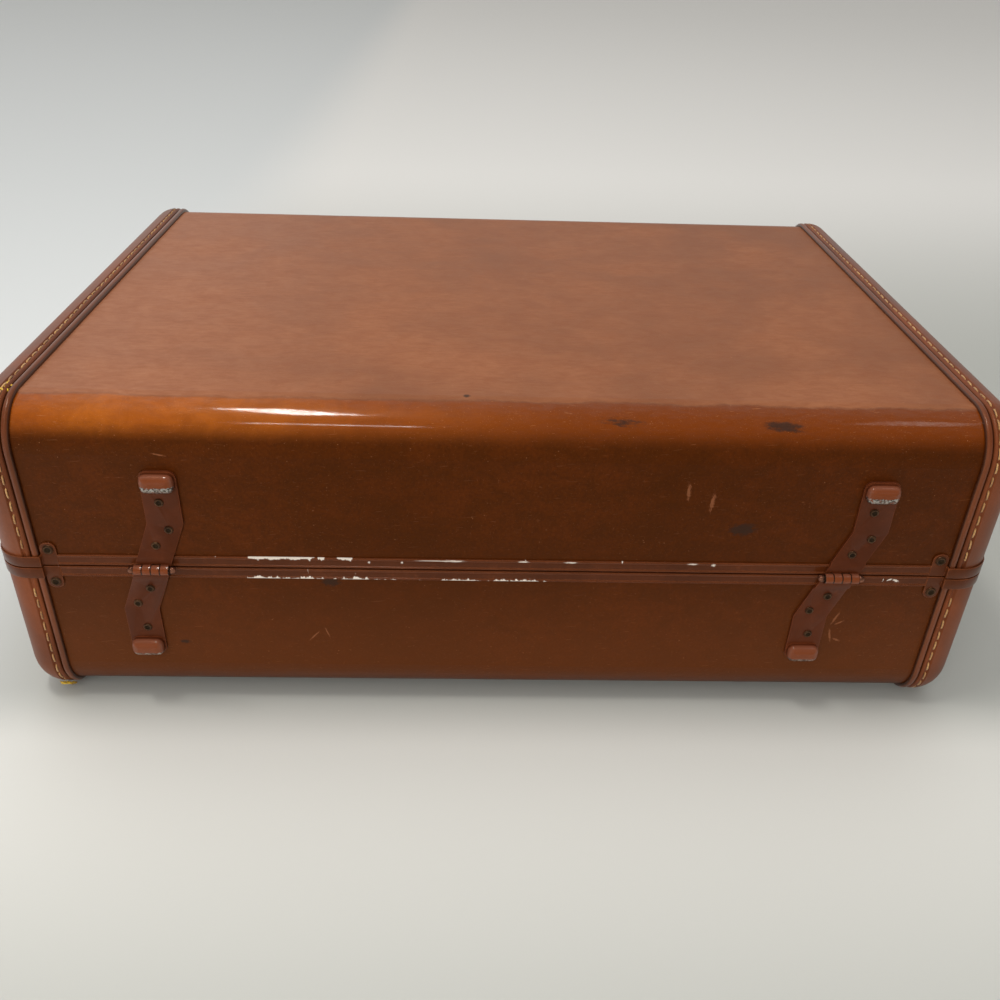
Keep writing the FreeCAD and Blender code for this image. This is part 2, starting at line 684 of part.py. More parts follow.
def handle_eye(name, middle):
    """Eye round the pin with a neck that runs down into the grip."""
    eye = rod(name + "_round", "size.eye_radius", "size.eye_width",
              (middle, HANDLE_Y, "size.handle_height"), ABOUT_Y)
    neck = box(name + "_neck", about(middle, "size.eye_width"), about(HANDLE_Y, "size.neck_thickness"),
               ("size.handle_height - size.grip_start", "size.handle_height"))
    bore = rod(name + "_bore", "size.handle_pin_radius + size.bore_clearance", REAMER,
               (middle, HANDLE_Y, "size.handle_height"), ABOUT_Y)
    return cut(name, fused(name + "_whole", eye, neck), bore)


def bent_path(sketch, corners, bend):
    """Open path of straight runs joined by quarter bends, its points and radii tied to the sheet."""
    points = [FreeCAD.Vector(worked_out(across), worked_out(up), 0) for across, up in corners]
    bulge = worked_out(bend) * (1 - 0.5 ** 0.5)
    for index, (start, end) in enumerate(zip(points, points[1:])):
        if index % 2 == 0:
            sketch.addGeometry(Part.LineSegment(start, end), False)
        else:
            middle = (start + end) / 2
            outwards = FreeCAD.Vector(1 if middle.x > 0 else -1, -1, 0).normalize()
            sketch.addGeometry(Part.Arc(start, middle + outwards * bulge, end), False)

    def end_at(piece, point):
        return 1 if sketch.getPoint(piece, 1).distanceToPoint(point) < CLOSE else 2

    last = len(points) - 2
    for index, (corner, point) in enumerate(zip(corners, points)):
        piece = min(index, last)
        if 0 < index <= last:
            sketch.addConstraint(Sketcher.Constraint("Coincident", index - 1, end_at(index - 1, point),
                                                     piece, end_at(piece, point)))
        for kind, expression in zip(("DistanceX", "DistanceY"), corner):
            tie(sketch, kind, (-1, 1, piece, end_at(piece, point)), expression)
    for index in range(1, last, 2):
        tie(sketch, "Radius", (index,), bend)


def oval(sketch, centre, width, thickness):
    """Ellipse whose centre and two diameters are tied to the sheet."""
    middle = FreeCAD.Vector(worked_out(centre[0]), worked_out(centre[1]), 0)
    sketch.addGeometry(Part.Ellipse(middle, worked_out(width) / 2, worked_out(thickness) / 2), False)
    sketch.exposeInternalGeometry(0)
    sketch.addConstraint(Sketcher.Constraint("Horizontal", 1))
    tie(sketch, "DistanceX", (-1, 1, 0, 3), centre[0])
    tie(sketch, "DistanceY", (-1, 1, 0, 3), centre[1])
    tie(sketch, "Distance", (1, 1, 1, 2), width)
    tie(sketch, "Distance", (2, 1, 2, 2), thickness)


def handle_grip(name):
    """Oval leather roll along two upright ends, two bends and a level middle."""
    grip = doc.addObject("PartDesign::Body", name)
    path = sketch_on(grip, "XZ_Plane", name + "_path", f"-({HANDLE_Y})")
    top = "size.handle_height - size.grip_start"
    bottom = "size.handle_height - size.handle_reach"
    left, right = BRACKETS["left"], BRACKETS["right"]
    bent_path(path, [(left, top), (left, f"{bottom} + size.grip_bend"), (f"{left} + size.grip_bend", bottom),
                     (f"{right} - size.grip_bend", bottom), (right, f"{bottom} + size.grip_bend"),
                     (right, top)], "size.grip_bend")
    section = sketch_on(grip, "XY_Plane", name + "_section", top)
    oval(section, (left, HANDLE_Y), "size.grip_width", "size.grip_thickness")
    sweep = grip.newObject("PartDesign::AdditivePipe", name + "_sweep")
    sweep.Profile = section
    sweep.Spine = (path, [f"Edge{n}" for n in range(1, 6)])
    keep(name, grip)


for side_name, middle in BRACKETS.items():
    handle_mount(side_name, middle)
keep("handle_pins", group("handle_pins", *[
    handle_pin(f"handle_pin_{side_name}", middle) for side_name, middle in BRACKETS.items()]))
keep("handle_rivets", group("handle_rivets", *[
    rivet(f"handle_rivet_{side_name}_{n}", middle, 1, f"size.handle_height + {step} * {BRACKET_RIVET_STEP}",
          "size.plate_thickness")
    for side_name, middle in BRACKETS.items() for n, step in enumerate((-1, 1))]))
keep("handle_eyes", group("handle_eyes", *[
    handle_eye(f"handle_eye_{side_name}", middle) for side_name, middle in BRACKETS.items()]))
handle_grip("handle_grip")

# Latches: a lock housing on the base, a slide button, and a hasp hung from the lid
HASP_Y = f"{FRONT_WALL} + size.hasp_axis_offset"
HASP_Z = f"{SEAM} + size.hasp_axis_height"
HASP_FACE = "size.hasp_axis_offset + size.hasp_knuckle_radius"
PLATE_START = "size.rim_height + size.plate_gap"
CASE_END = f"{PLATE_START} + size.latch_height"
BUTTON_TOP = "size.hasp_drop + size.button_drop"
BUTTON_END = f"{BUTTON_TOP} + size.button_height"
CORNERS = ((-1, -1), (1, -1), (-1, 1), (1, 1))


def latch_rivet_places(middle):
    """Rivets near the corners of a latch case's plate."""
    return [(f"{middle} + {across} * (size.latch_width / 2 - size.latch_rivet_inset)",
             f"{SEAM} - ({PLATE_START} + size.latch_height / 2) + {up} * size.latch_rivet_spread / 2")
            for across, up in CORNERS]


def hasp_rivet_places(middle):
    """Two rivets at the top of a hasp plate."""
    return [(f"{middle} + {across} * size.hasp_rivet_spacing / 2", f"{SEAM} + size.hasp_rivet_height")
            for across in (-1, 1)]


def drilled(name, places):
    """Rivet holes through the handle wall's plates."""
    return [rod(f"{name}_hole_{n}", "size.rivet_shank_radius", DRILL, (x, FRONT_WALL, z), ABOUT_X)
            for n, (x, z) in enumerate(places)]


def latch_case(name, middle, side):
    """Lock plate and housing: a mouth for the tongue, room for the bolt, a slot and a keyhole."""
    plate = front_plate(name + "_plate", about(middle, "size.latch_width"),
                        from_seam(f"-({CASE_END})", f"-({PLATE_START})"), "0", "size.plate_thickness",
                        "size.plate_corner")
    housing = front_plate(name + "_housing", about(middle, "size.housing_width"),
                          from_seam(f"-({CASE_END} - size.housing_foot_inset)",
                                    f"-({PLATE_START} + size.housing_top_inset)"),
                          "size.housing_back", "size.housing_depth - size.housing_back",
                          "size.housing_corner")
    mouth = box(name + "_mouth", about(middle, "size.mouth_width"),
                (front("size.mouth_floor"), front("2 * size.housing_depth")),
                from_seam(f"-({BUTTON_TOP} - size.mouth_rise)", "0"))
    cavity = box(name + "_cavity", about(middle, "size.cavity_width"),
                 (front("size.plate_thickness"), front("size.cavity_front")),
                 from_seam(f"-({CASE_END} - size.cavity_wall)", f"-({BUTTON_TOP} - size.cavity_rise)"))
    slot_width = about(f"{middle} + {side} * size.slide_travel / 2",
                       "size.button_width + size.slide_travel + 2 * size.button_clearance")
    slot = box(name + "_slot", slot_width, (front("size.plate_thickness"), front("2 * size.housing_depth")),
               from_seam(f"-({BUTTON_END} + size.button_clearance)",
                         f"-({BUTTON_TOP} - size.button_clearance)"))
    keyhole = rod(name + "_keyhole", "size.keyhole_radius", "size.housing_depth",
                  (f"{middle} - {side} * size.keyhole_offset", front("size.housing_depth"),
                   f"{SEAM} - (size.hasp_drop + size.keyhole_drop)"), ABOUT_X)
    holes = drilled(name, latch_rivet_places(middle))
    keep(name, cut(name, fused(name + "_whole", plate, housing), mouth, cavity, slot, keyhole, *holes))


def latch_slide(name, middle):
    """Button and bolt in one, which move along the case."""
    bolt = box(name + "_bolt", about(middle, "size.bolt_width"),
               (front("size.plate_thickness + size.bolt_clearance"),
                front("size.cavity_front - size.bolt_clearance")),
               from_seam(f"-({BUTTON_END} + size.bolt_border)", f"-({BUTTON_TOP} - size.bolt_border)"))
    button = front_plate(name + "_button", about(middle, "size.button_width"),
                         from_seam(f"-({BUTTON_END})", f"-({BUTTON_TOP})"),
                         "size.button_front - size.button_length", "size.button_length", "size.button_corner")
    keep(name, fused(name, bolt, button))


def hasp_plate(name, middle):
    """Plate on the lid with two ears that carry the hasp's pin."""
    plate = front_plate(name + "_plate", about(middle, "size.hasp_plate_width"),
                        from_seam(PLATE_START, "size.hasp_plate_top"), "0", "size.plate_thickness",
                        "size.plate_corner")
    pieces = [plate]
    for n, end in enumerate((-1, 1)):
        centre = f"{middle} + {end} * size.hasp_ear_spacing / 2"
        pieces.append(rod(f"{name}_knuckle_{n}", "size.hasp_knuckle_radius", "size.hasp_ear_width",
                          (centre, HASP_Y, HASP_Z), ABOUT_Y))
        pieces.append(box(f"{name}_web_{n}", about(centre, "size.hasp_ear_width"), (FRONT_WALL, HASP_Y),
                          (f"{HASP_Z} - size.hasp_knuckle_radius / 2",
                           f"{HASP_Z} + size.hasp_knuckle_radius")))
    bore = rod(name + "_bore", "size.hasp_pin_radius + size.bore_clearance", REAMER,
               (middle, HASP_Y, HASP_Z), ABOUT_Y)
    keep(name, cut(name, fused(name + "_whole", *pieces), bore, *drilled(name, hasp_rivet_places(middle))))


def hasp(name, middle):
    """Flap with a barrel for its pin and a tongue that drops into the lock's mouth."""
    flap = padded(name + "_flap", "XZ_Plane",
                  rectangle(*zip(about(middle, "size.hasp_width"), (f"{SEAM} - size.hasp_drop", HASP_Z))),
                  f"-({FRONT_WALL} + {HASP_FACE})", "size.hasp_thickness")
    lower_edge = worked_out(f"{SEAM} - size.hasp_drop")
    rounded(flap, name + "_flap_corners", "size.hasp_corner",
            lambda item: along(1)(item) and abs(item.BoundBox.ZMin - lower_edge) < CLOSE)
    barrel = rod(name + "_barrel", "size.hasp_knuckle_radius", "size.hasp_width - 2 * size.hasp_clearance",
                 (middle, HASP_Y, HASP_Z), ABOUT_Y)
    tongue = box(name + "_tongue", about(middle, "size.tongue_width"),
                 (front("size.tongue_back"), front(f"{HASP_FACE} - size.hasp_thickness / 2")),
                 from_seam("-(size.tongue_drop + size.tongue_height)", "-size.tongue_drop"))
    bore = rod(name + "_bore", "size.hasp_pin_radius + size.bore_clearance", REAMER,
               (middle, HASP_Y, HASP_Z), ABOUT_Y)
    keep(name, cut(name, fused(name + "_whole", flap, barrel, tongue), bore))


hasp_pins, latch_rivets, hasp_rivets = [], [], []
for side_name, side in SIDES.items():
    middle = f"{side} * size.latch_spacing / 2"
    latch_case(f"latch_case_{side_name}", middle, side)
    latch_slide(f"latch_slide_{side_name}", middle)
    hasp_plate(f"hasp_plate_{side_name}", middle)
    hasp(f"hasp_{side_name}", middle)
    hasp_pins.append(rod(f"hasp_pin_{side_name}", "size.hasp_pin_radius", "size.hasp_pin_length",
                         (middle, HASP_Y, HASP_Z), ABOUT_Y))
    latch_rivets += [rivet(f"latch_rivet_{side_name}_{n}", x, 1, z, "size.plate_thickness",
                           "size.small_rivet_head_radius")
                     for n, (x, z) in enumerate(latch_rivet_places(middle))]
    hasp_rivets += [rivet(f"hasp_rivet_{side_name}_{n}", x, 1, z, "size.plate_thickness")
                    for n, (x, z) in enumerate(hasp_rivet_places(middle))]
keep("hasp_pins", group("hasp_pins", *hasp_pins))
keep("latch_rivets", group("latch_rivets", *latch_rivets))
keep("hasp_rivets", group("hasp_rivets", *hasp_rivets))

# Inside: two packing straps on the floor of the base, and a gathered pocket in the lid
FLOOR = "size.leather + size.wall + size.lining"
buckles = []
for side_name, side in SIDES.items():
    middle = f"{side} * size.strap_spacing / 2"
    name = f"packing_strap_{side_name}"
    top = f"{FLOOR} + size.strap_thickness"
    strap_length = "2 * (size.body_width / 2 - size.long_edge_radius - size.strap_margin)"
    webbing = box(name + "_webbing", about(middle, "size.strap_width"), about("0", strap_length),
                  (FLOOR, top))
    keep(name, group(name, webbing))
    frame = box(f"buckle_frame_{side_name}", about(middle, "size.buckle_length"),
                about("0", "size.buckle_width"), (top, f"{top} + size.buckle_thickness"))
    hole_width = "(size.buckle_width - 3 * size.buckle_bar) / 2"
    holes = [box(f"buckle_hole_{side_name}_{n}", about(middle, "size.buckle_length - 2 * size.buckle_bar"),
                 about(f"{end} * ({hole_width} + size.buckle_bar) / 2", hole_width), (FLOOR, SEAM))
             for n, end in enumerate((-1, 1))]
    buckles.append(cut(f"strap_buckle_{side_name}", frame, *holes))
keep("strap_buckles", group("strap_buckles", *buckles))

CEILING = "size.leather + size.body_height - size.wall - size.lining"
back_inside = "-(size.body_width / 2 - size.long_edge_radius)"
pocket = padded("lid_pocket", "YZ_Plane",
                rectangle((back_inside, f"{CEILING} - size.pocket_depth"),
                          (f"{back_inside} + size.pocket_reach", CEILING)),
                "-size.pocket_length / 2", "size.pocket_length")
rounded(pocket, "lid_pocket_edges", "size.pocket_edge",
        lambda item: abs(item.BoundBox.ZMax - worked_out(f"{CEILING} - size.pocket_depth")) < CLOSE)
keep("lid_pocket", pocket)

doc.recompute()
for thing in doc.Objects:
    if any(word in thing.State for word in ("Invalid", "Error")):
        raise RuntimeError(f"{thing.Name} did not build: {thing.State}")
os.makedirs("parts", exist_ok=True)
for thing in parts:
    shape = thing.Shape
    if shape.isNull() or not shape.isValid() or not shape.Solids:
        raise RuntimeError(f"{thing.Label} has no valid solid")
    shape.exportStep(f"parts/{thing.Label}.step")
    reach = shape.BoundBox
    print(f"{thing.Label:26s} {len(shape.Solids):2d} solids {shape.Volume / 1000:9.2f} cm3 "
          f"x {reach.XMin:8.2f} {reach.XMax:8.2f} y {reach.YMin:8.2f} {reach.YMax:8.2f} "
          f"z {reach.ZMin:7.2f} {reach.ZMax:7.2f}")
print(len(parts), "sub-parts")
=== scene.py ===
# %% [markdown]
# # A hard travel case of the stitched, riveted kind
#
# The construction is ready: walls, leather, rims, hinges, handle and latches stand in one frame,
# in metres, each on the body that it moves with. This lesson gives them their looks. It starts
# with the frame and the camera, goes on to the shared effects and the finishes, then models the
# leather, the stitches, the metal and the cloth, and ends with the light.

# %% Load the frame
import json
import math
import random

import bmesh
import bpy
from mathutils import Matrix, Vector
from mathutils.noise import turbulence


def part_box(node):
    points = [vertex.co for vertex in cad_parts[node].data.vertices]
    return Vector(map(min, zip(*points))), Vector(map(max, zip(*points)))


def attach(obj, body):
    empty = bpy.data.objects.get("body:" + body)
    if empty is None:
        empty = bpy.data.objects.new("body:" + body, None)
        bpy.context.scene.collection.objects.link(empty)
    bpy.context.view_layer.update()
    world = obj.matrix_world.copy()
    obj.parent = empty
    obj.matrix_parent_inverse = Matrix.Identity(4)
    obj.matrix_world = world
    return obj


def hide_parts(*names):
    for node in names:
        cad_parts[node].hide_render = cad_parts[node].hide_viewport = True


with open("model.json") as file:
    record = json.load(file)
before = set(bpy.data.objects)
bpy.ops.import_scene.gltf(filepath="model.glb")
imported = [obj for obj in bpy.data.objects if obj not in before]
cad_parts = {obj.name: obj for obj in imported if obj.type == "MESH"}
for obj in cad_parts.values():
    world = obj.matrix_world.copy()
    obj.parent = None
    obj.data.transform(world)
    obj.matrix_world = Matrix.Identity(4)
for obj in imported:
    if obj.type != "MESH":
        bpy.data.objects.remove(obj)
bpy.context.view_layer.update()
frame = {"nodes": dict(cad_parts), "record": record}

MM = 0.001
nodes = frame["nodes"]

# %% [markdown]
# ## The camera
#
# The case was seen from its hinge side, from a bit over half a metre, looking down by 32 degrees.
# The camera stands where the edges of the case line up with that view. It is turned from its own
# three axes, because a camera looks along its own -Z with its +Y up.

# %% Place the camera
CAMERA_PLACE = Vector((-19.3, -692.0, 458.4)) * MM
LOOK_DOWN = math.radians(32.0)
LOOK_ASIDE = math.radians(-2.12)
TILT = math.radians(1.97)
SENSOR = 36.0
FOCAL_PIXELS = 962.65
IMAGE_PIXELS = 1000

forward = Vector((-math.sin(LOOK_ASIDE) * math.cos(LOOK_DOWN),
                  math.cos(LOOK_ASIDE) * math.cos(LOOK_DOWN), -math.sin(LOOK_DOWN)))
level_right = Vector((math.cos(LOOK_ASIDE), math.sin(LOOK_ASIDE), 0))
level_up = level_right.cross(forward)
right = math.cos(TILT) * level_right + math.sin(TILT) * level_up
up = math.cos(TILT) * level_up - math.sin(TILT) * level_right

lens = bpy.data.cameras.new("camera")
lens.sensor_width = SENSOR
lens.lens = SENSOR * FOCAL_PIXELS / IMAGE_PIXELS
camera = bpy.data.objects.new("camera", lens)
bpy.context.collection.objects.link(camera)
turned = Matrix((right, up, -forward)).transposed().to_4x4()
camera.matrix_world = Matrix.Translation(CAMERA_PLACE) @ turned
bpy.context.scene.camera = camera
print("camera looks along", [round(part, 3) for part in forward])

# %% [markdown]
# ## Sizes from the frame
#
# Every finish and every new piece takes its place from the nodes of the frame, so nothing has to
# be fitted by eye: the walls give the body, the leather gives the bindings, the rims the seam.

# %% Measure the frame
base_low, base_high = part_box("base_shell")
lid_low, lid_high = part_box("lid_shell")
leather_low, leather_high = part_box("base_binding_right")
rim_low, rim_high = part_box("base_rim_back")
lid_rim_low, lid_rim_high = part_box("lid_rim_back")

WALL_BACK = base_low.y
WALL_FRONT = base_high.y
FLOOR_FACE = base_low.z
TOP_FACE = lid_high.z
MIDDLE_Y = (WALL_BACK + WALL_FRONT) / 2
SEAM = (rim_high.z + lid_rim_low.z) / 2
LEATHER = FLOOR_FACE - leather_low.z
LONG_EDGE = 28 * MM
PIPING_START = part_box("base_piping_right")[0].x
PIPING_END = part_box("base_piping_right")[1].x
print("walls from y", round(WALL_BACK, 4), "to", round(WALL_FRONT, 4), "seam at z", round(SEAM, 4))

# %% [markdown]
# ## Shader helpers
#
# A material is a small net of nodes. Writing each link by hand hides the idea, so these helpers
# add one node at a time and take either a number or another node's output for each input. An output
# can be added, multiplied and so on like a number, and each such sum becomes a node too. Colours are
# given as they look on a screen, from 0 to 255, and are turned into light values.

# %% Small helpers for materials
def tone(red, green, blue):
    """Screen colour from 0 to 255, as the light values that a shader wants."""
    parts = [part / 255 for part in (red, green, blue)]
    return tuple(part / 12.92 if part <= 0.04045 else ((part + 0.055) / 1.055) ** 2.4
                 for part in parts) + (1.0,)


def darker(colour, share):
    """A colour with only a share of its light."""
    return tuple(share * part for part in colour[:3]) + (1.0,)


def open_net(tree):
    """The helpers add their nodes to this net until another one is opened."""
    global net
    net = tree


class Value:
    """One output of a node, to reckon with as with a number."""

    def __init__(self, socket):
        self.socket = socket

    def __add__(self, other):
        return calc("ADD", self, other)

    def __sub__(self, other):
        return calc("SUBTRACT", self, other)

    def __rsub__(self, other):
        return calc("SUBTRACT", other, self)

    def __mul__(self, other):
        return calc("MULTIPLY", self, other)

    def __truediv__(self, other):
        return calc("DIVIDE", self, other)

    def __abs__(self):
        return calc("ABSOLUTE", self)

    __radd__ = __add__
    __rmul__ = __mul__


def feed(ends, name, value):
    """Link a value to an input, or set the input to a plain number or colour."""
    if isinstance(value, Value):
        net.links.new(value.socket, ends[name])
    else:
        ends[name].default_value = value


def add(kind, output, inputs=None, **settings):
    """Add a shader node and give back one of its outputs."""
    node = net.nodes.new("ShaderNode" + kind)
    for name, value in settings.items():
        setattr(node, name, value)
    for name, value in (inputs or {}).items():
        feed(node.inputs, name, value)
    return Value(node.outputs[output])


def calc(operation, first, second=0.0):
    """One sum of two values."""
    return add("Math", 0, {0: first, 1: second}, operation=operation)


def larger(first, second):
    """The larger of two values."""
    return calc("MAXIMUM", first, second)


def axes(vector):
    """The three parts of a vector."""
    return [add("SeparateXYZ", axis, {"Vector": vector}) for axis in "XYZ"]


def place_on(scale=(1, 1, 1), turn=(0, 0, 0)):
    """Object coordinates, in metres, that may be turned and stretched."""
    return add("Mapping", "Vector", {"Vector": add("TexCoord", "Object"), "Scale": scale, "Rotation": turn})


def noise(vector, scale, detail=3.0, roughness=0.55, distortion=0.0):
    """Cloudy noise from 0 to 1."""
    return add("TexNoise", "Fac", {"Vector": vector, "Scale": scale, "Detail": detail,
                                   "Roughness": roughness, "Distortion": distortion})


def ease(value, low, high, start=0.0, end=1.0):
    """Smooth step of a value between two limits."""
    return add("MapRange", "Result", {"Value": value, "From Min": low, "From Max": high, "To Min": start,
                                      "To Max": end}, interpolation_type="SMOOTHSTEP")


def blend(factor, first, second):
    """Mix of two colours."""
    return add("Mix", 2, {0: factor, 6: first, 7: second}, data_type="RGBA")


def new_group(name, inputs, outputs):
    """Empty node group, opened: the socket called Vector takes a place, any other a number."""
    tree = bpy.data.node_groups.new(name, "ShaderNodeTree")
    for way, labels in (("INPUT", inputs), ("OUTPUT", outputs)):
        for label in labels:
            kind = "NodeSocketVector" if label == "Vector" else "NodeSocketFloat"
            tree.interface.new_socket(label, in_out=way, socket_type=kind)
    open_net(tree)
    start = tree.nodes.new("NodeGroupInput").outputs
    end = tree.nodes.new("NodeGroupOutput").inputs
    return tree, {label: Value(start[label]) for label in inputs}, end


def use_group(group, *inputs):
    """Place a shared effect with its inputs in order, and give back what comes out of it."""
    node = net.nodes.new("ShaderNodeGroup")
    node.node_tree = group
    for number, value in enumerate(inputs):
        feed(node.inputs, number, value)
    values = [Value(socket) for socket in node.outputs]
    return values if len(values) > 1 else values[0]


def new_material(name, **constants):
    """Material with one Principled shader, opened; constants are set on the shader's own inputs."""
    material = bpy.data.materials.new(name)
    material.use_nodes = True
    open_net(material.node_tree)
    shader = next(node for node in net.nodes if node.type == "BSDF_PRINCIPLED")
    for socket, value in constants.items():
        feed(shader.inputs, socket.replace("_", " "), value)
    return material, shader.inputs


def bump(end, height, distance):
    """Fine relief: the height's full range stands for a distance in metres."""
    feed(end, "Normal", add("Bump", "Normal", {"Height": height, "Distance": distance}))


# %% [markdown]
# ## Shared effects
#
# Age shows in the same few ways on every piece of this case: cloudy patches in the colour, pale
# specks, thin scratches, paint rubbed off along edges, and single marks. Each is a node group, made
# once, so that a change to one of them reaches every finish.

# %% Effect: cloudy patches and small specks
MOTTLE, start, end = new_group("mottle", ["Vector", "Patch Scale", "Speck Scale"],
                               ["Patches", "Grain", "Specks"])
wide = noise(start["Vector"], start["Patch Scale"], 4.0, 0.6, 0.3)
feed(end, "Patches", ease(wide, 0.3, 0.7))
fine = noise(start["Vector"], start["Speck Scale"], 2.0, 0.5)
feed(end, "Grain", ease(fine, 0.25, 0.75))
dots = add("TexVoronoi", "Distance",
           {"Vector": start["Vector"], "Scale": start["Speck Scale"], "Randomness": 1.0})
near = ease(dots, 0.22, 0.1)
rare = ease(noise(start["Vector"], start["Speck Scale"] * 0.4), 0.6, 0.72)
feed(end, "Specks", near * rare)

# %% Effect: thin scratches, long across X and thin across the other two axes
SCRATCHES, start, end = new_group("scratches", ["Vector", "Length", "Width", "Share"], ["Mask"])
warp = add("TexNoise", "Color", {"Vector": start["Vector"], "Scale": 14.0, "Detail": 1.0})
bent = add("VectorMath", 0, {0: warp, "Scale": 0.012}, operation="SCALE")
moved = add("VectorMath", 0, {0: start["Vector"], 1: bent}, operation="ADD")
across, out, height = axes(moved)
stretched = add("CombineXYZ", "Vector", {"X": across / start["Length"], "Y": out / start["Width"],
                                         "Z": height / start["Width"]})
limit = 1.0 - start["Share"]
feed(end, "Mask", ease(noise(stretched, 1.0, 1.0, 0.4), limit, limit + 0.05))

# %% Effect: one mark of a given place, size and turn, with a ragged outline
MARK, start, end = new_group("single mark", ["Vector", "Ragged"], ["Mask"])
reach = add("VectorMath", "Value", {0: start["Vector"]}, operation="LENGTH")
rough = noise(start["Vector"], 2.6, 5.0, 0.75)
torn = (rough - 0.5) * start["Ragged"]
feed(end, "Mask", ease(reach + torn, 1.0, 0.45))

# %% Effect: paint rubbed thin along edges
EDGE_WEAR, start, end = new_group("edge wear", ["Vector", "Radius", "Noise Scale", "Amount"], ["Mask"])
soft = add("Bevel", "Normal", {"Radius": start["Radius"]}, samples=2)
sharp = add("NewGeometry", "Normal")
match = add("VectorMath", "Value", {0: soft, 1: sharp}, operation="DOT_PRODUCT")
turned = 1.0 - match
patchy = noise(start["Vector"], start["Noise Scale"], 4.0, 0.65)
level = (turned + patchy * 0.12) * start["Amount"]
feed(end, "Mask", ease(level, 0.09, 0.2))
print("shared effects:", [group.name for group in bpy.data.node_groups])

# %% [markdown]
# ## Finish: the covering of the walls
#
# The walls are plywood under a lacquered brown covering. Its colour could be one flat brown with a
# shine, but the real one has aged by place: the flat top is rubbed dull, the long rounded edges are
# polished to orange, and the upright walls stay dark and mottled. So the height above the table picks
# the colour and the shine, and the shared effects break them up. Some light is painted in too: the top
# is painted paler and pinker, partly as a painted reflection of a pale wall, most of all on the left;
# the rolled edge is painted brighter on the left, as a painted highlight; and the wall is painted paler
# towards its foot, as a painted reflection of the table.

# %% Marks on the covering
# Each mark: centre, half sizes and turn about the wall's normal, in millimetres and degrees
DARK_MARKS = [
    ((145, -213, 141), (10, 9, 5.2), -4),
    ((70, -201, 205), (20, 5, 3.4), 3),
    ((162, -203, 205), (16, 5, 3.4), 5),
    ((-22, -186, 213), (2.6, 2.2, 3), 0),
    ((-200, -213, 49), (4.0, 9, 1.8), 3),
    ((-104, -213, 98), (7.0, 9, 4.0), 2),
]
PALE_MARKS = [
    ((109, -213, 167), (1.3, 9, 6.4), -3),
    ((124, -213, 160), (1.4, 9, 7.0), 4),
    ((216, -213, 74), (0.8, 9, 6), 20),
    ((219, -213, 70), (3.6, 9, 0.7), -30),
    ((215, -213, 60), (0.8, 9, 6), -14),
    ((220, -213, 56), (3.0, 9, 0.8), 24),
    ((-117, -213, 55), (0.6, 9, 5.5), 42),
    ((-109, -213, 58), (0.5, 9, 4.5), -20),
    ((-196, -213, 186), (4.5, 9, 0.6), 12),
]


def marked(place, marks, ragged):
    """All marks of one list as a single mask."""
    total = 0.0
    for centre, half, turn in marks:
        local = add("Mapping", "Vector",
                    {"Vector": place, "Location": Vector(centre) * MM, "Scale": Vector(half) * MM,
                     "Rotation": (0, math.radians(turn), 0)}, vector_type="TEXTURE")
        mask = use_group(MARK, local, ragged)
        total = larger(mask, total)
    return total


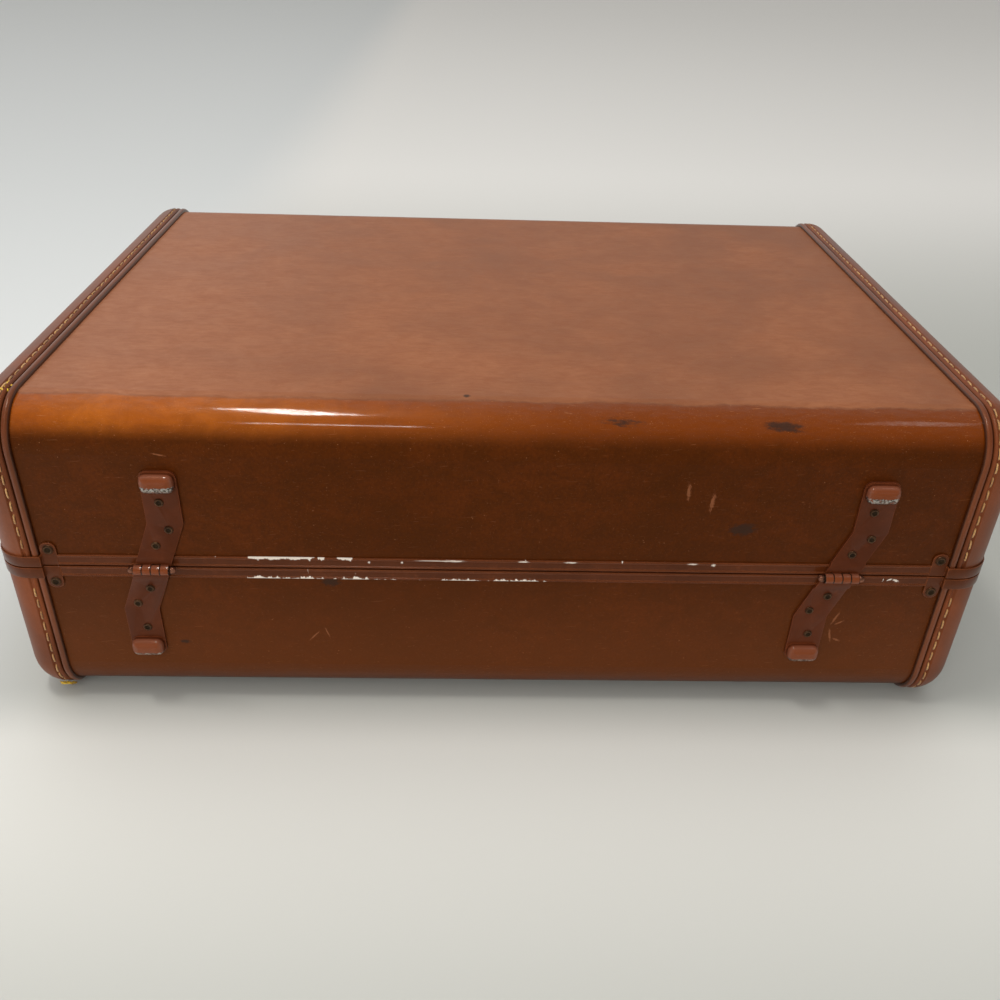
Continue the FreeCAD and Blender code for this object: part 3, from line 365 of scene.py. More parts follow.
# %% The covering
def make_covering():
    material, end = new_material("lacquered covering", Coat_Roughness=0.085, Coat_IOR=1.5,
                                 Specular_IOR_Level=0.3, Specular_Tint=tone(255, 176, 110))
    place = place_on()
    across, _, height = axes(place)
    uneven = noise(place_on((0.5, 1, 1)), 60, 5.0, 0.7) - 0.5
    shifted = height + uneven * (2.0 * MM)
    flat_top = ease(shifted, TOP_FACE - 1.1 * MM, TOP_FACE - 0.3 * MM)
    rolled = ease(height, TOP_FACE - 20 * MM, TOP_FACE - 7 * MM) * (1.0 - flat_top)

    patches, grain, specks = use_group(MOTTLE, place, 9.0, 620.0)
    streaks = noise(place_on((0.3, 1, 1)), 420, 4.0, 0.65)
    cloud = ease(noise(place_on((0.7, 1, 1)), 70, 6.0, 0.7, 0.6), 0.35, 0.65)
    wall = blend(patches, tone(70, 28, 3), tone(84, 35, 6))
    wall = blend(cloud * 0.6, wall, tone(60, 25, 3))
    wall = blend(grain * 0.5, wall, tone(54, 21, 5))
    # Painted reflection: the wall is painted paler towards its foot, for the pale table that it reflects
    below = ease(height, SEAM + 20 * MM, FLOOR_FACE + 10 * MM)
    wall = blend(below * 0.45, wall, tone(106, 55, 24))
    # Painted highlight: the rolled edge is painted brighter on the left, where a lamp's highlight falls, and
    # darker towards the right
    painted_highlight_fade = ease(across, -220 * MM, 60 * MM)
    edge = blend(patches, tone(148, 70, 8), tone(166, 86, 14))
    edge = blend(painted_highlight_fade, edge, tone(112, 48, 2))
    edge = blend(cloud * 0.4, edge, tone(106, 46, 2))
    # The flat top: rubbed dull, and painted paler and pinker, partly as a painted reflection of a pale wall;
    # the next line paints a brighter reflection on the left
    top = blend(patches, tone(130, 80, 51), tone(154, 97, 64))
    top = blend(ease(across, -60 * MM, -260 * MM, 0.0, 0.6), top, tone(168, 112, 82))
    top = blend(ease(streaks, 0.3, 0.7) * 0.4, top, tone(126, 68, 40))
    top = blend(cloud * 0.25, top, tone(120, 64, 38))
    colour = blend(rolled, wall, edge)
    colour = blend(flat_top, colour, top)
    colour = blend(specks * 0.5, colour, tone(190, 130, 88))

    scratched = 0.0
    for turn, long, share in ((4, 18, 0.26), (-31, 11, 0.26), (72, 9, 0.26), (38, 12, 0.255)):
        turned = place_on(turn=(0, math.radians(turn), math.radians(turn / 2)))
        lines = use_group(SCRATCHES, turned, long * MM, 0.4 * MM, share)
        scratched = larger(lines, scratched)
    worn = scratched * (0.16 + rolled * 0.3)
    colour = blend(worn, colour, tone(196, 132, 84))
    colour = blend(marked(place, DARK_MARKS, 1.8) * 0.85, colour, tone(40, 30, 26))
    colour = blend(marked(place, PALE_MARKS, 3.6) * 0.38, colour, tone(176, 112, 76))
    feed(end, "Base Color", colour)

    feed(end, "Roughness", 0.36 + flat_top * 0.14 + patches * 0.08)
    lacquer = rolled * 0.9 + flat_top * 0.12
    dulled = larger(scratched, ease(streaks, 0.35, 0.62) * 0.65)
    lacquer = lacquer * (1.0 - dulled * 0.8)
    feed(end, "Coat Weight", lacquer)
    bump(end, grain * 0.5 + streaks * 0.3 - scratched * 0.5 + cloud * 1.2, 0.04 * MM)
    return material


# %% [markdown]
# ## Finish: leather
#
# The bindings, the piping and the grip are the same hide, cut and dyed alike. Hide has a grain of
# small rounded cells, so a Voronoi pattern gives the relief, with wider noise for the way that
# leather darkens where it is handled. The piping is more polished than the flat bindings.

# %% Leather for bindings, piping and grip
def make_leather(name, light, dark, roughness, grain, coat):
    light, dark = tone(*light), tone(*dark)
    material, end = new_material(name, Coat_Roughness=0.25, Coat_Weight=coat, Specular_IOR_Level=0.35,
                                 Specular_Tint=tone(255, 190, 140))
    place = place_on()
    patches, grain, _ = use_group(MOTTLE, place, 14.0, 500.0)
    cells = add("TexVoronoi", "Distance", {"Vector": place, "Scale": grain}, feature="SMOOTH_F1")
    colour = blend(patches, dark, light)
    colour = blend(ease(cells, 0.3, 0.75) * 0.35, colour, darker(dark, 0.5))
    rubs = use_group(SCRATCHES, place_on(turn=(0.6, 0.4, 1.2)), 9 * MM, 0.6 * MM, 0.28)
    paler = tuple(min(1.0, 1.9 * part + 0.03) for part in light[:3]) + (1.0,)
    colour = blend(rubs * 0.4, colour, paler)
    aside = abs(axes(place)[0])
    # Painted shade: a dark line in the grooves on both sides of the piping
    for shaded_groove in (PIPING_START + 0.1 * MM, PIPING_END):
        away = abs(aside - shaded_groove)
        colour = blend(ease(away, 0.7 * MM, 0.25 * MM, 0.0, 0.75), colour, tone(34, 16, 9))
    feed(end, "Base Color", colour)
    feed(end, "Roughness", roughness + patches * 0.1)
    bump(end, patches * 0.5 - cells, 0.12 * MM)
    return material


# %% [markdown]
# ## Finish: painted metal
#
# Rims and hinges are steel under brown paint. Paint goes first from edges and from the corners
# that rub on a floor, down to bare metal, and it lets go in flakes along the rims, where the pale
# undercoat shows. The edge effect finds the edges by comparing the surface with a rounded copy of
# itself. The flakes follow the two long lines where the real rims lost theirs.

# %% Paint on the rims
# Stretches along the case, in millimetres, and how much of the paint is gone there
CHIP_RUNS = {
    "lid": ((-262, 0.12), (-175, 0.4), (-160, 0.4), (-150, 0.95), (-92, 0.9), (-82, 0.3), (0, 0.5),
            (55, 0.5), (100, 0.5), (150, 0.52), (165, 0.25), (230, 0.22), (262, 0.12)),
    "base": ((-262, 0.1), (-176, 0.45), (-160, 0.3), (-150, 0.97), (-85, 0.9), (-67, 0.9), (-45, 0.65),
             (-30, 0.97), (24, 0.95), (32, 0.62), (78, 0.58), (140, 0.45), (215, 0.3), (262, 0.1)),
}
CHIPS_END = 252 * MM
UNDERCOAT = tone(226, 214, 200)
CASE_HALF = 0.3
# Chips that stand alone, given like the marks on the covering
LONE_CHIPS = [((247, -215, 104.6), (2.6, 9, 1.0), 20), ((243, -215, 105.2), (2.2, 9, 0.7), -25),
              ((-29, -215, 115.2), (9, 9, 1.0), 0), ((-40, -215, 115.4), (14, 9, 0.5), 0),
              ((14, -215, 115.4), (4, 9, 0.8), 0), ((43, -215, 115.2), (5, 9, 0.9), 0),
              ((118, -215, 115.2), (4, 9, 0.9), 0), ((131, -215, 114.6), (1.6, 9, 1.4), 0),
              ((-60, -215, 113.6), (0.9, 9, 0.9), 0), ((-80, -215, 113.4), (0.9, 9, 0.9), 0)]


def chip_ramp(across, runs):
    """Share of lost paint along the case."""
    ramp = add("ValToRGB", "Color", {"Fac": across / (2 * CASE_HALF) + 0.5})
    points = ramp.socket.node.color_ramp.elements
    while len(points) < len(runs):
        points.new(0.5)
    for point, (x, share) in zip(points, runs):
        point.position = x * MM / (2 * CASE_HALF) + 0.5
        point.color = (share, share, share, 1)
    return ramp


def make_rim_paint():
    material, end = new_material("painted rim", Coat_Weight=0.2, Coat_Roughness=0.16,
                                 Specular_IOR_Level=0.22, Specular_Tint=tone(255, 180, 130))
    place = place_on()
    across, out, height = axes(place)
    hinge_side = ease(out, 60 * MM, -60 * MM, 0.35, 1.0)
    rim_height = lid_rim_high.z - lid_rim_low.z
    patches, grain, _ = use_group(MOTTLE, place, 20.0, 480.0)
    colour = blend(patches, tone(72, 32, 11), tone(86, 40, 16))
    colour = blend(grain * 0.3, colour, tone(58, 26, 10))
    wear = use_group(EDGE_WEAR, place, 0.6 * MM, 160.0, 1.4)
    colour = blend(wear * 0.6, colour, tone(160, 90, 54))
    total = 0.0
    ragged = noise(place_on((0.8, 0.3, 0.3)), 260, 4.0, 0.75)
    breaks = noise(place_on((1, 0.2, 0.2)), 130, 3.0, 0.7)
    for name, half, top in (("lid", 1, lid_rim_high.z), ("base", -1, rim_low.z)):
        share = chip_ramp(across, CHIP_RUNS[name]) * hinge_side
        depth = (top - height) * half
        here = ease(share * 0.62 + breaks, 0.96, 1.08)
        torn = (ragged - 0.4) * (9 * MM)
        reach = here * larger(torn, 0.6 * MM)
        bare = ease(reach - depth, 0.0, 0.12 * MM) * ease(here, 0.02, 0.12)
        on_rim = ease(depth, -0.5 * MM, -0.2 * MM) * ease(depth, rim_height * 1.05, rim_height)
        total = larger(total, bare * on_rim)
    flakes = ease(breaks, 0.68, 0.7) * ease(ragged, 0.6, 0.63)
    flakes = flakes * ease(abs(across), CHIPS_END, CHIPS_END - 12 * MM)
    total = larger(total, larger(flakes, marked(place, LONE_CHIPS, 2.4)))
    feed(end, "Base Color", blend(total, colour, UNDERCOAT))
    feed(end, "Roughness", 0.34 + total * 0.3)
    bump(end, grain * 0.2 - total, 0.08 * MM)
    return material


# %% Paint on the hinges, worn to metal at the feet
FOOT_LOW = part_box("hinge_leaf_base_left")[0].z
LID_FOOT_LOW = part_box("hinge_leaf_lid_left")[1].z - 12.3 * MM
LEAF_WIDE = 21.5 * MM
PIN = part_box("hinge_pin_right")
HINGE_MIDDLE = (PIN[0].x + PIN[1].x) / 2
KNUCKLE_LONG = LEAF_WIDE / 4


def make_hinge_paint():
    material, end = new_material("painted hinge", Coat_Roughness=0.08, Specular_IOR_Level=0.25,
                                 Specular_Tint=tone(255, 170, 110))
    place = place_on()
    across, out, height = axes(place)
    low_end = ease(height, FOOT_LOW + 6.2 * MM, FOOT_LOW + 3.6 * MM)
    from_band = abs(height - (LID_FOOT_LOW + 1.6 * MM))
    outer_end = ease(from_band, 4.8 * MM, 2.4 * MM)
    proud = ease(out, WALL_BACK - 2.2 * MM, WALL_BACK - 4.6 * MM) * larger(low_end, outer_end)
    knuckle = ease(out, WALL_BACK - 3.4 * MM, WALL_BACK - 4.2 * MM)
    patches, grain, _ = use_group(MOTTLE, place, 30.0, 560.0)
    colour = blend(patches, tone(70, 31, 15), tone(86, 39, 19))
    # Painted highlight: the knuckles are painted lighter and coppery, for the highlights along their round
    # barrel
    colour = blend(knuckle * 0.6, colour, tone(136, 80, 58))
    on_foot = ease(out, WALL_BACK - 5.8 * MM, WALL_BACK - 7.7 * MM)
    colour = blend(on_foot, colour, tone(112, 50, 14))
    wear = use_group(EDGE_WEAR, place, 0.7 * MM, 220.0, 1.4)
    colour = blend(wear * 0.5, colour, tone(140, 72, 40))
    # Painted shade: dark lines at the gaps between the knuckles, where shade falls
    joint = (abs(across) - HINGE_MIDDLE) / KNUCKLE_LONG
    joint = abs(calc("FRACT", joint + 8.5) - 0.5)
    at_pin = ease(abs(height - SEAM), 4.2 * MM, 3.4 * MM)
    knuckle_gap_shade = ease(joint, 0.09, 0.05) * (at_pin * knuckle)
    colour = blend(knuckle_gap_shade, colour, tone(18, 9, 6))
    ragged = noise(place, 420, 5.0, 0.75)
    bare = ease(proud * (ragged + 0.25), 0.62, 0.74)
    steel = blend(ease(noise(place, 700, 2.0), 0.4, 0.6), tone(70, 62, 56), tone(176, 174, 168))
    feed(end, "Base Color", blend(bare, colour, steel))
    feed(end, "Metallic", bare)
    feed(end, "Coat Weight", 0.12 + larger(knuckle, on_foot) * 0.45)
    feed(end, "Roughness", 0.3 + grain * 0.12)
    bump(end, grain * 0.25 - bare * 0.6, 0.06 * MM)
    return material


# %% [markdown]
# ## Finish: bare metals
#
# Rivets, pins, brass fittings and the light metal lip differ in colour and dullness, not in kind,
# so one function makes them all: metal with stains in its hollows and bright rubbed edges.

# %% Bare metals
def make_metal(name, low, high, rubbed, roughness, scale, tarnish):
    material, end = new_material(name)
    place = place_on()
    patches, grain, _ = use_group(MOTTLE, place, scale, scale * 9)
    colour = blend(patches, tone(*low), tone(*high))
    wear = use_group(EDGE_WEAR, place, 0.5 * MM, scale * 2, 1.2)
    colour = blend(wear, colour, tone(*rubbed))
    stain = grain * tarnish
    colour = blend(stain, colour, darker(tone(*low), 0.3))
    feed(end, "Base Color", colour)
    feed(end, "Metallic", 1.0 - stain * 0.5)
    feed(end, "Roughness", roughness + patches * 0.15)
    bump(end, grain, 0.03 * MM)
    return material


# %% [markdown]
# ## Finish: cloths
#
# The lining is a thin plain-woven cloth with a sheen and stripes, pasted on card; the pocket has the
# same weave in a darker plain colour; the packing straps are woven tape. A weave is two sets of
# threads, so two wave patterns at right angles give the relief, and on walls that stand upright the
# pattern turns with the wall.

# %% Effect: plain weave, by the direction that the surface faces
WEAVE, start, end = new_group("plain weave", ["Vector", "Threads"], ["Height"])
waves = [calc("SINE", part * start["Threads"] * (2 * math.pi)) for part in axes(start["Vector"])]
facing = axes(add("TexCoord", "Normal"))
flat = ease(abs(facing[2]), 0.45, 0.75)
endwise = ease(abs(facing[0]), 0.45, 0.75)
first = add("Mix", 0, {0: endwise, 2: waves[0], 3: waves[1]})
second = add("Mix", 0, {0: flat, 2: waves[2], 3: waves[1]})
feed(end, "Height", first * second)


STRIPE_PITCH = 18 * MM


def make_cloth(name, light, dark, threads, sheen, stripe):
    light, dark = tone(*light), tone(*dark)
    material, end = new_material(name, Sheen_Weight=sheen, Sheen_Roughness=0.4, Roughness=0.75)
    place = place_on()
    patches, _, _ = use_group(MOTTLE, place, 12.0, 800.0)
    weave = use_group(WEAVE, place, threads)
    colour = blend(patches, dark, light)
    band = calc("SINE", axes(place)[0] * (2 * math.pi / STRIPE_PITCH))
    colour = blend(ease(band, 0.55, 0.75) * stripe, colour, darker(dark, 0.45))
    colour = blend(ease(weave, 0.3, -0.6) * 0.3, colour, darker(dark, 0.5))
    feed(end, "Base Color", colour)
    bump(end, weave, 0.05 * MM)
    return material


# %% Dress every node of the frame
# Leathers: light and dark colour, roughness, grain cells to a metre and coat
LEATHERS = {
    "binding_leather": ("binding leather", (128, 66, 36), (98, 48, 25), 0.42, 900, 0.14),
    "piping_leather": ("piping leather", (118, 58, 27), (92, 44, 20), 0.32, 1100, 0.45),
    "grip_leather": ("grip leather", (150, 82, 46), (112, 58, 34), 0.38, 800, 0.2),
}
# Metals: low and high colour, rubbed edges, roughness, scale of the stains and their strength
METALS = {
    "dark_rivet": ("dark rivet", (72, 48, 32), (104, 74, 50), (170, 132, 100), 0.38, 240, 0.6),
    "hinge_pin": ("hinge pin", (120, 80, 62), (180, 122, 96), (214, 178, 152), 0.32, 200, 0.4),
    "brass_hardware": ("aged brass", (140, 104, 52), (190, 152, 84), (232, 204, 146), 0.3, 70, 0.35),
    "lip_metal": ("light metal lip", (150, 150, 146), (186, 186, 182), (220, 220, 216), 0.34, 40, 0.2),
    "buckle_metal": ("buckle metal", (146, 140, 128), (188, 182, 168), (226, 222, 210), 0.28, 90, 0.3),
}
# Cloths: light and dark colour, threads to a metre, sheen and strength of the stripes
CLOTHS = {
    "lining_cloth": ("lining cloth", (206, 178, 138), (184, 154, 114), 1600, 0.3, 0.35),
    "pocket_cloth": ("pocket cloth", (182, 140, 96), (156, 116, 76), 1600, 0.35, 0.0),
    "strap_webbing": ("strap webbing", (122, 80, 50), (98, 62, 38), 700, 0.15, 0.0),
}
FINISHES = {"covering": make_covering(), "painted_rim": make_rim_paint(), "painted_hinge": make_hinge_paint()}
for make, table in ((make_leather, LEATHERS), (make_metal, METALS), (make_cloth, CLOTHS)):
    for slot, facts in table.items():
        FINISHES[slot] = make(*facts)
for part in frame["record"]["subparts"]:
    for place in nodes[part["node"]].material_slots:
        place.material = FINISHES[part["material_slot"]]
print("finishes:", len(FINISHES))

# %% [markdown]
# ## Modelling helpers
#
# Every new piece is made as by hand: a primitive, shaped in edit mode, finished with modifiers that
# are applied. These helpers open a mesh with nothing selected, select its corners, edges or faces by
# a test of their place, and settle a finished piece on its body with its finish.

# %% Small helpers for modelling
SHARP = math.radians(50)


def only(piece):
    """Select one piece alone, in object mode."""
    if bpy.context.object and bpy.context.object.mode != "OBJECT":
        bpy.ops.object.mode_set(mode="OBJECT")
    bpy.ops.object.select_all(action="DESELECT")
    piece.select_set(True)
    bpy.context.view_layer.objects.active = piece


def open_mesh(piece):
    """Open one mesh with nothing in it selected."""
    only(piece)
    bpy.ops.object.mode_set(mode="EDIT")
    bpy.ops.mesh.select_all(action="DESELECT")


def close_mesh():
    """Back to object mode."""
    bpy.ops.object.mode_set(mode="OBJECT")


def apply_place():
    """Put the place, turn and scale of the selected piece into its mesh."""
    bpy.ops.object.transform_apply(location=True, rotation=True, scale=True)


def pick_all():
    """Select the whole open mesh."""
    bpy.ops.mesh.select_all(action="SELECT")


def draw_on(move):
    """Extrude what is selected along a vector."""
    bpy.ops.mesh.extrude_region_move(TRANSFORM_OT_translate={"value": move})


def pick(piece, kind, test):
    """Select the corners, edges or faces that pass a test, and say how many."""
    bpy.ops.mesh.select_all(action="DESELECT")
    bpy.ops.mesh.select_mode(type={"corner": "VERT", "edge": "EDGE", "face": "FACE"}[kind])
    mesh = bmesh.from_edit_mesh(piece.data)
    mesh.normal_update()
    items = {"corner": mesh.verts, "edge": mesh.edges, "face": mesh.faces}[kind]
    chosen = [item for item in items if test(item)]
    for item in chosen:
        item.select_set(True)
    bmesh.update_edit_mesh(piece.data)
    return len(chosen)


def primitive(kind, **settings):
    """New piece from a primitive."""
    bpy.ops.object.select_all(action="DESELECT")
    getattr(bpy.ops.mesh, f"primitive_{kind}_add")(**settings)
    return bpy.context.object


def sized(kind, middle, size, **settings):
    """New piece from a primitive of size 1, stretched to a size about its middle."""
    piece = primitive(kind, size=1, location=middle, **settings)
    piece.scale = size
    apply_place()
    return piece


def laid(source, matrix):
    """Copy of a piece with its own mesh, moved by a matrix."""
    copy = source.copy()
    copy.data = source.data.copy()
    copy.data.transform(matrix)
    bpy.context.collection.objects.link(copy)
    return copy


def work(piece, kind, **settings):
    """Add a modifier with its settings and apply it."""
    only(piece)
    modifier = piece.modifiers.new(kind, kind)
    for name, value in settings.items():
        setattr(modifier, name, value)
    bpy.ops.object.modifier_apply(modifier=modifier.name)


def twin(piece):
    """Copy of a piece with its own mesh."""
    only(piece)
    bpy.ops.object.duplicate(linked=False)
    return bpy.context.object


def outward(piece):
    """Close doubles and turn every face outwards."""
    open_mesh(piece)
    pick_all()
    bpy.ops.mesh.remove_doubles(threshold=0.005 * MM)
    bpy.ops.mesh.normals_make_consistent(inside=False)
    close_mesh()


def complete(piece):
    """Close the open mesh, apply its place and turn its faces outwards."""
    close_mesh()
    apply_place()
    outward(piece)


def mirrored(piece):
    """Copy of a piece on the other side of the case."""
    copy = twin(piece)
    copy.scale.x = -1
    apply_place()
    outward(copy)
    return copy


def gather(pieces):
    """Join several pieces into one."""
    only(pieces[0])
    for piece in pieces:
        piece.select_set(True)
    bpy.ops.object.join()
    return bpy.context.object


def along_axis(edge, axis):
    """Whether an edge runs along one axis."""
    return abs((edge.verts[0].co - edge.verts[1].co).normalized()[axis]) > 0.9


def settle(piece, name, body, slot, replaced=(), material=None, smooth=35, keep_finish=False):
    """Finish a piece: its place goes into its mesh, then its body, its finish and what it stands for."""
    only(piece)
    apply_place()
    bpy.ops.object.shade_smooth_by_angle(angle=math.radians(smooth))
    piece.name = name
    piece.data.name = name
    if not keep_finish:
        piece.data.materials.clear()
        piece.data.materials.append(material or FINISHES[slot])
    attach(piece, body)
    if replaced:
        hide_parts(*replaced)
    print(name, "on", body, "with", len(piece.data.polygons), "faces")
    return piece


def drawn(points):
    """New piece: one corner, drawn on from point to point by extruding it."""
    piece = primitive("plane", size=MM, location=points[0])
    open_mesh(piece)
    bpy.ops.mesh.select_mode(type="VERT")
    pick_all()
    bpy.ops.mesh.merge(type="CENTER")
    for here, there in zip(points, points[1:]):
        draw_on(Vector(there) - Vector(here))
    return piece


def arc(centre, radius, start, end, steps):
    """Points of an arc in a plane: degrees from the first axis towards the second."""
    turns = [math.radians(start + (end - start) * step / steps) for step in range(steps + 1)]
    return [(centre[0] + radius * math.cos(turn), centre[1] + radius * math.sin(turn)) for turn in turns]


# %% [markdown]
# ## The leather bindings and their piping
#
# Both ends of the case are bound with hide: a band that comes about 25 mm onto the walls, rolls over
# the end and covers the border of the end panel. A thin rolled piping lies along its inner edge.
# They could be cut from boxes, but a real binding is one profile carried once round the case. So
# the profile is drawn, spun about the four corners and drawn on along the four straights, closed,
# given the hide's thickness, and cut where lid and base meet. The profile has the small valley that
# the stitches pull into the hide.

# %% Carry a profile round the case
HALF_DEPTH = (WALL_FRONT - WALL_BACK) / 2
HALF_HEIGHT = (TOP_FACE - FLOOR_FACE) / 2
MIDDLE_Z = (TOP_FACE + FLOOR_FACE) / 2
STRAIGHT_DEPTH = 2 * (HALF_DEPTH - LONG_EDGE)
STRAIGHT_HEIGHT = 2 * (HALF_HEIGHT - LONG_EDGE)
BEND_STEPS = 12
END_FACE = leather_high.x
BASE_CUT = leather_high.z
LID_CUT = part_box("lid_binding_right")[0].z


def round_the_case(profile):
    """Ring with a profile of points: place along the case, height above the wall, both in metres."""
    front = WALL_FRONT - LONG_EDGE
    back = WALL_BACK + LONG_EDGE
    high = TOP_FACE - LONG_EDGE
    low = FLOOR_FACE + LONG_EDGE
    ring = drawn([(along, front, TOP_FACE + out) for along, out in profile])
    pick_all()
    legs = (((front, high), (0, 0, -STRAIGHT_HEIGHT)), ((front, low), (0, -STRAIGHT_DEPTH, 0)),
            ((back, low), (0, 0, STRAIGHT_HEIGHT)), ((back, high), (0, STRAIGHT_DEPTH, 0)))
    for (y, z), move in legs:
        bpy.ops.mesh.spin(steps=BEND_STEPS, angle=math.pi / 2, center=(0, y, z), axis=(1, 0, 0))
        draw_on(move)
    complete(ring)
    return ring


def halves(ring):
    """Cut a closed ring at the seam: the part below and the part above."""
    above = twin(ring)
    for piece, height, upper in ((ring, BASE_CUT, False), (above, LID_CUT, True)):
        open_mesh(piece)
        pick_all()
        bpy.ops.mesh.bisect(plane_co=(0, 0, height), plane_no=(0, 0, 1), use_fill=True, clear_inner=upper,
                            clear_outer=not upper)
        close_mesh()
    return ring, above


def settle_four(whole, name, kind, rounding=None):
    """Both sides and both halves of a ring, each on its body."""
    for side, ring in (("right", whole), ("left", mirrored(whole))):
        for body, piece in zip(("base", "lid"), halves(ring)):
            if rounding:
                work(piece, "BEVEL", width=rounding, segments=2, angle_limit=SHARP)
            settle(piece, f"{body}_{name}_{side}", body, f"{kind}_leather", [f"{body}_{kind}_{side}"])


# %% Bindings
BINDING_START = leather_low.x
ROLL = 20 * MM
STITCH_ROW = BINDING_START + 3.7 * MM
WINDOW_ROUND = 22 * MM
CUTTER_DEPTH = 20 * MM
HIDE = 2.4 * MM
VALLEY = 1.15 * MM
ROUNDING = 0.45 * MM

roll_centre = (END_FACE - ROLL, LEATHER - ROLL)
# Edge of the hide: place from where the binding starts and height on the wall, in millimetres
profile = [(BINDING_START + along * MM, out * MM) for along, out in ((0, 0.1), (0.2, 1.1), (0.7, 2.1))]
profile.append((BINDING_START + 1.5 * MM, LEATHER - 0.15 * MM))
profile.append((STITCH_ROW - 1.5 * MM, LEATHER - 0.05 * MM))
# Valley under the stitches: place from the row in millimetres, and share of the valley's depth
for along, share in ((-0.95, 0.5), (-0.6, 0.95), (0, 1), (0.6, 0.95), (0.95, 0.5)):
    profile.append((STITCH_ROW + along * MM, LEATHER - share * VALLEY))
profile += arc(roll_centre, ROLL, 85, 4, 9)
profile.append((END_FACE, LEATHER - ROLL - 2 * MM))
# Groove round the end face: depth and height on the wall, in millimetres
for depth, out in ((0.1, -23.5), (0.6, -24), (0.1, -24.5)):
    profile.append((END_FACE - depth * MM, out * MM))
profile.append((END_FACE, -LONG_EDGE + 0.2 * MM))
binding = round_the_case(profile)
open_mesh(binding)
pick(binding, "edge", lambda edge: edge.is_boundary and edge.verts[0].co.x > END_FACE - MM)
bpy.ops.mesh.edge_face_add()
close_mesh()
work(binding, "SOLIDIFY", thickness=HIDE, offset=-1.0, use_even_offset=True)
outward(binding)

cutter = sized("cube", (END_FACE, MIDDLE_Y, MIDDLE_Z), (CUTTER_DEPTH, STRAIGHT_DEPTH, STRAIGHT_HEIGHT))
open_mesh(cutter)
pick(cutter, "edge", lambda edge: along_axis(edge, 0))
bpy.ops.mesh.bevel(offset=WINDOW_ROUND, segments=8, affect="EDGES")
close_mesh()
work(binding, "BOOLEAN", operation="DIFFERENCE", solver="EXACT", object=cutter)
bpy.data.objects.remove(cutter)

settle_four(binding, "leather_binding", "binding", ROUNDING)

# %% Piping
piping_low, piping_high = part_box("base_piping_right")
bead = (piping_high.x - piping_low.x) / 2
bead_centre = (piping_low.x + bead, LEATHER - bead - 0.1 * MM)
profile = [(piping_low.x + 0.25 * MM, -0.1 * MM)] + arc(bead_centre, bead, 190, -10, 9)
profile += [(piping_high.x - 0.25 * MM, -0.1 * MM)]
piping = round_the_case(profile)
open_mesh(piping)
pick(piping, "edge", lambda edge: edge.is_boundary)
bpy.ops.mesh.bridge_edge_loops()
outward(piping)
settle_four(piping, "rolled_piping", "piping")

# %% [markdown]
# ## Stitches
#
# Thick golden thread holds the bindings. Each stitch shows as a short arched dash that dips into the
# hide at both ends. A few dozen faces are enough for one dash, and several hundred are needed, so it
# is modelled once and copied along the stitch line, a little unevenly, as thread lies on an old case.

# %% Thread
def make_thread(name, light, dark):
    material, end = new_material(name, Roughness=0.6, Sheen_Weight=0.2)
    place = place_on()
    twist = add("TexWave", "Fac", {"Vector": place, "Scale": 260.0, "Distortion": 1.5}, wave_type="BANDS",
                bands_direction="DIAGONAL")
    soil = noise(place, 60, 3.0)
    colour = blend(ease(soil, 0.35, 0.65), dark, light)
    colour = blend(twist * 0.3, colour, darker(dark, 0.5))
    feed(end, "Base Color", colour)
    bump(end, twist, 0.1 * MM)
    return material


THREAD = make_thread("golden thread", tone(206, 158, 98), tone(160, 112, 62))
FRESH_THREAD = make_thread("bright thread", tone(228, 188, 34), tone(196, 148, 26))

# %% One stitch
STITCH_LENGTH = 6.9 * MM
STITCH_PITCH = 8.9 * MM
THREAD_HALF = 0.56 * MM

stitch = primitive("cylinder", vertices=6, radius=THREAD_HALF, depth=STITCH_LENGTH, location=(0, 0, 0))
open_mesh(stitch)
for cut in (-2.7, -1.0, 1.0, 2.7):
    pick_all()
    bpy.ops.mesh.bisect(plane_co=(0, 0, cut * MM), plane_no=(0, 0, 1))
# Beyond each reach the dash drops and narrows to a share of its thickness
for reach, drop, share in ((2.6 * MM, 0.2 * MM, 1.0), (3.4 * MM, 0.7 * MM, 0.55)):
    for way in (-1, 1):
        pick(stitch, "corner", lambda corner: corner.co.z * way > reach)
        bpy.ops.transform.translate(value=(0, -drop, 0))
        bpy.ops.transform.resize(value=(share, share, 1), center_override=(0, -drop, way * reach))
close_mesh()
print("one stitch has", len(stitch.data.polygons), "faces")


# %% Rows of stitches
def loop_spots(half_depth, half_height, radius):
    """Evenly spaced spots on a rounded rectangle: place and outward turn, seen along the case."""
    straight = 2 * (half_depth - radius), 2 * (half_height - radius)
    bend = radius * math.pi / 2
    total = 2 * (straight[0] + straight[1]) + 4 * bend
    count = round(total / STITCH_PITCH)
    corners = ((1, 1, 0.0), (-1, 1, 0.5), (-1, -1, 1.0), (1, -1, 1.5))
    for number in range(count):
        left = total * number / count
        for side, (y_sign, z_sign, turn) in enumerate(corners):
            angle = turn * math.pi
            centre = Vector((y_sign * (half_depth - radius), z_sign * (half_height - radius)))
            if left < bend:
                angle += left / radius
                out = Vector((math.cos(angle), math.sin(angle)))
                yield centre + radius * out, angle
                break
            left -= bend
            length = straight[side % 2]
            if left < length:
                angle += math.pi / 2
                out = Vector((math.cos(angle), math.sin(angle)))
                ahead = Vector((-math.sin(angle), math.cos(angle)))
                yield centre + radius * out + left * ahead, angle
                break
            left -= length


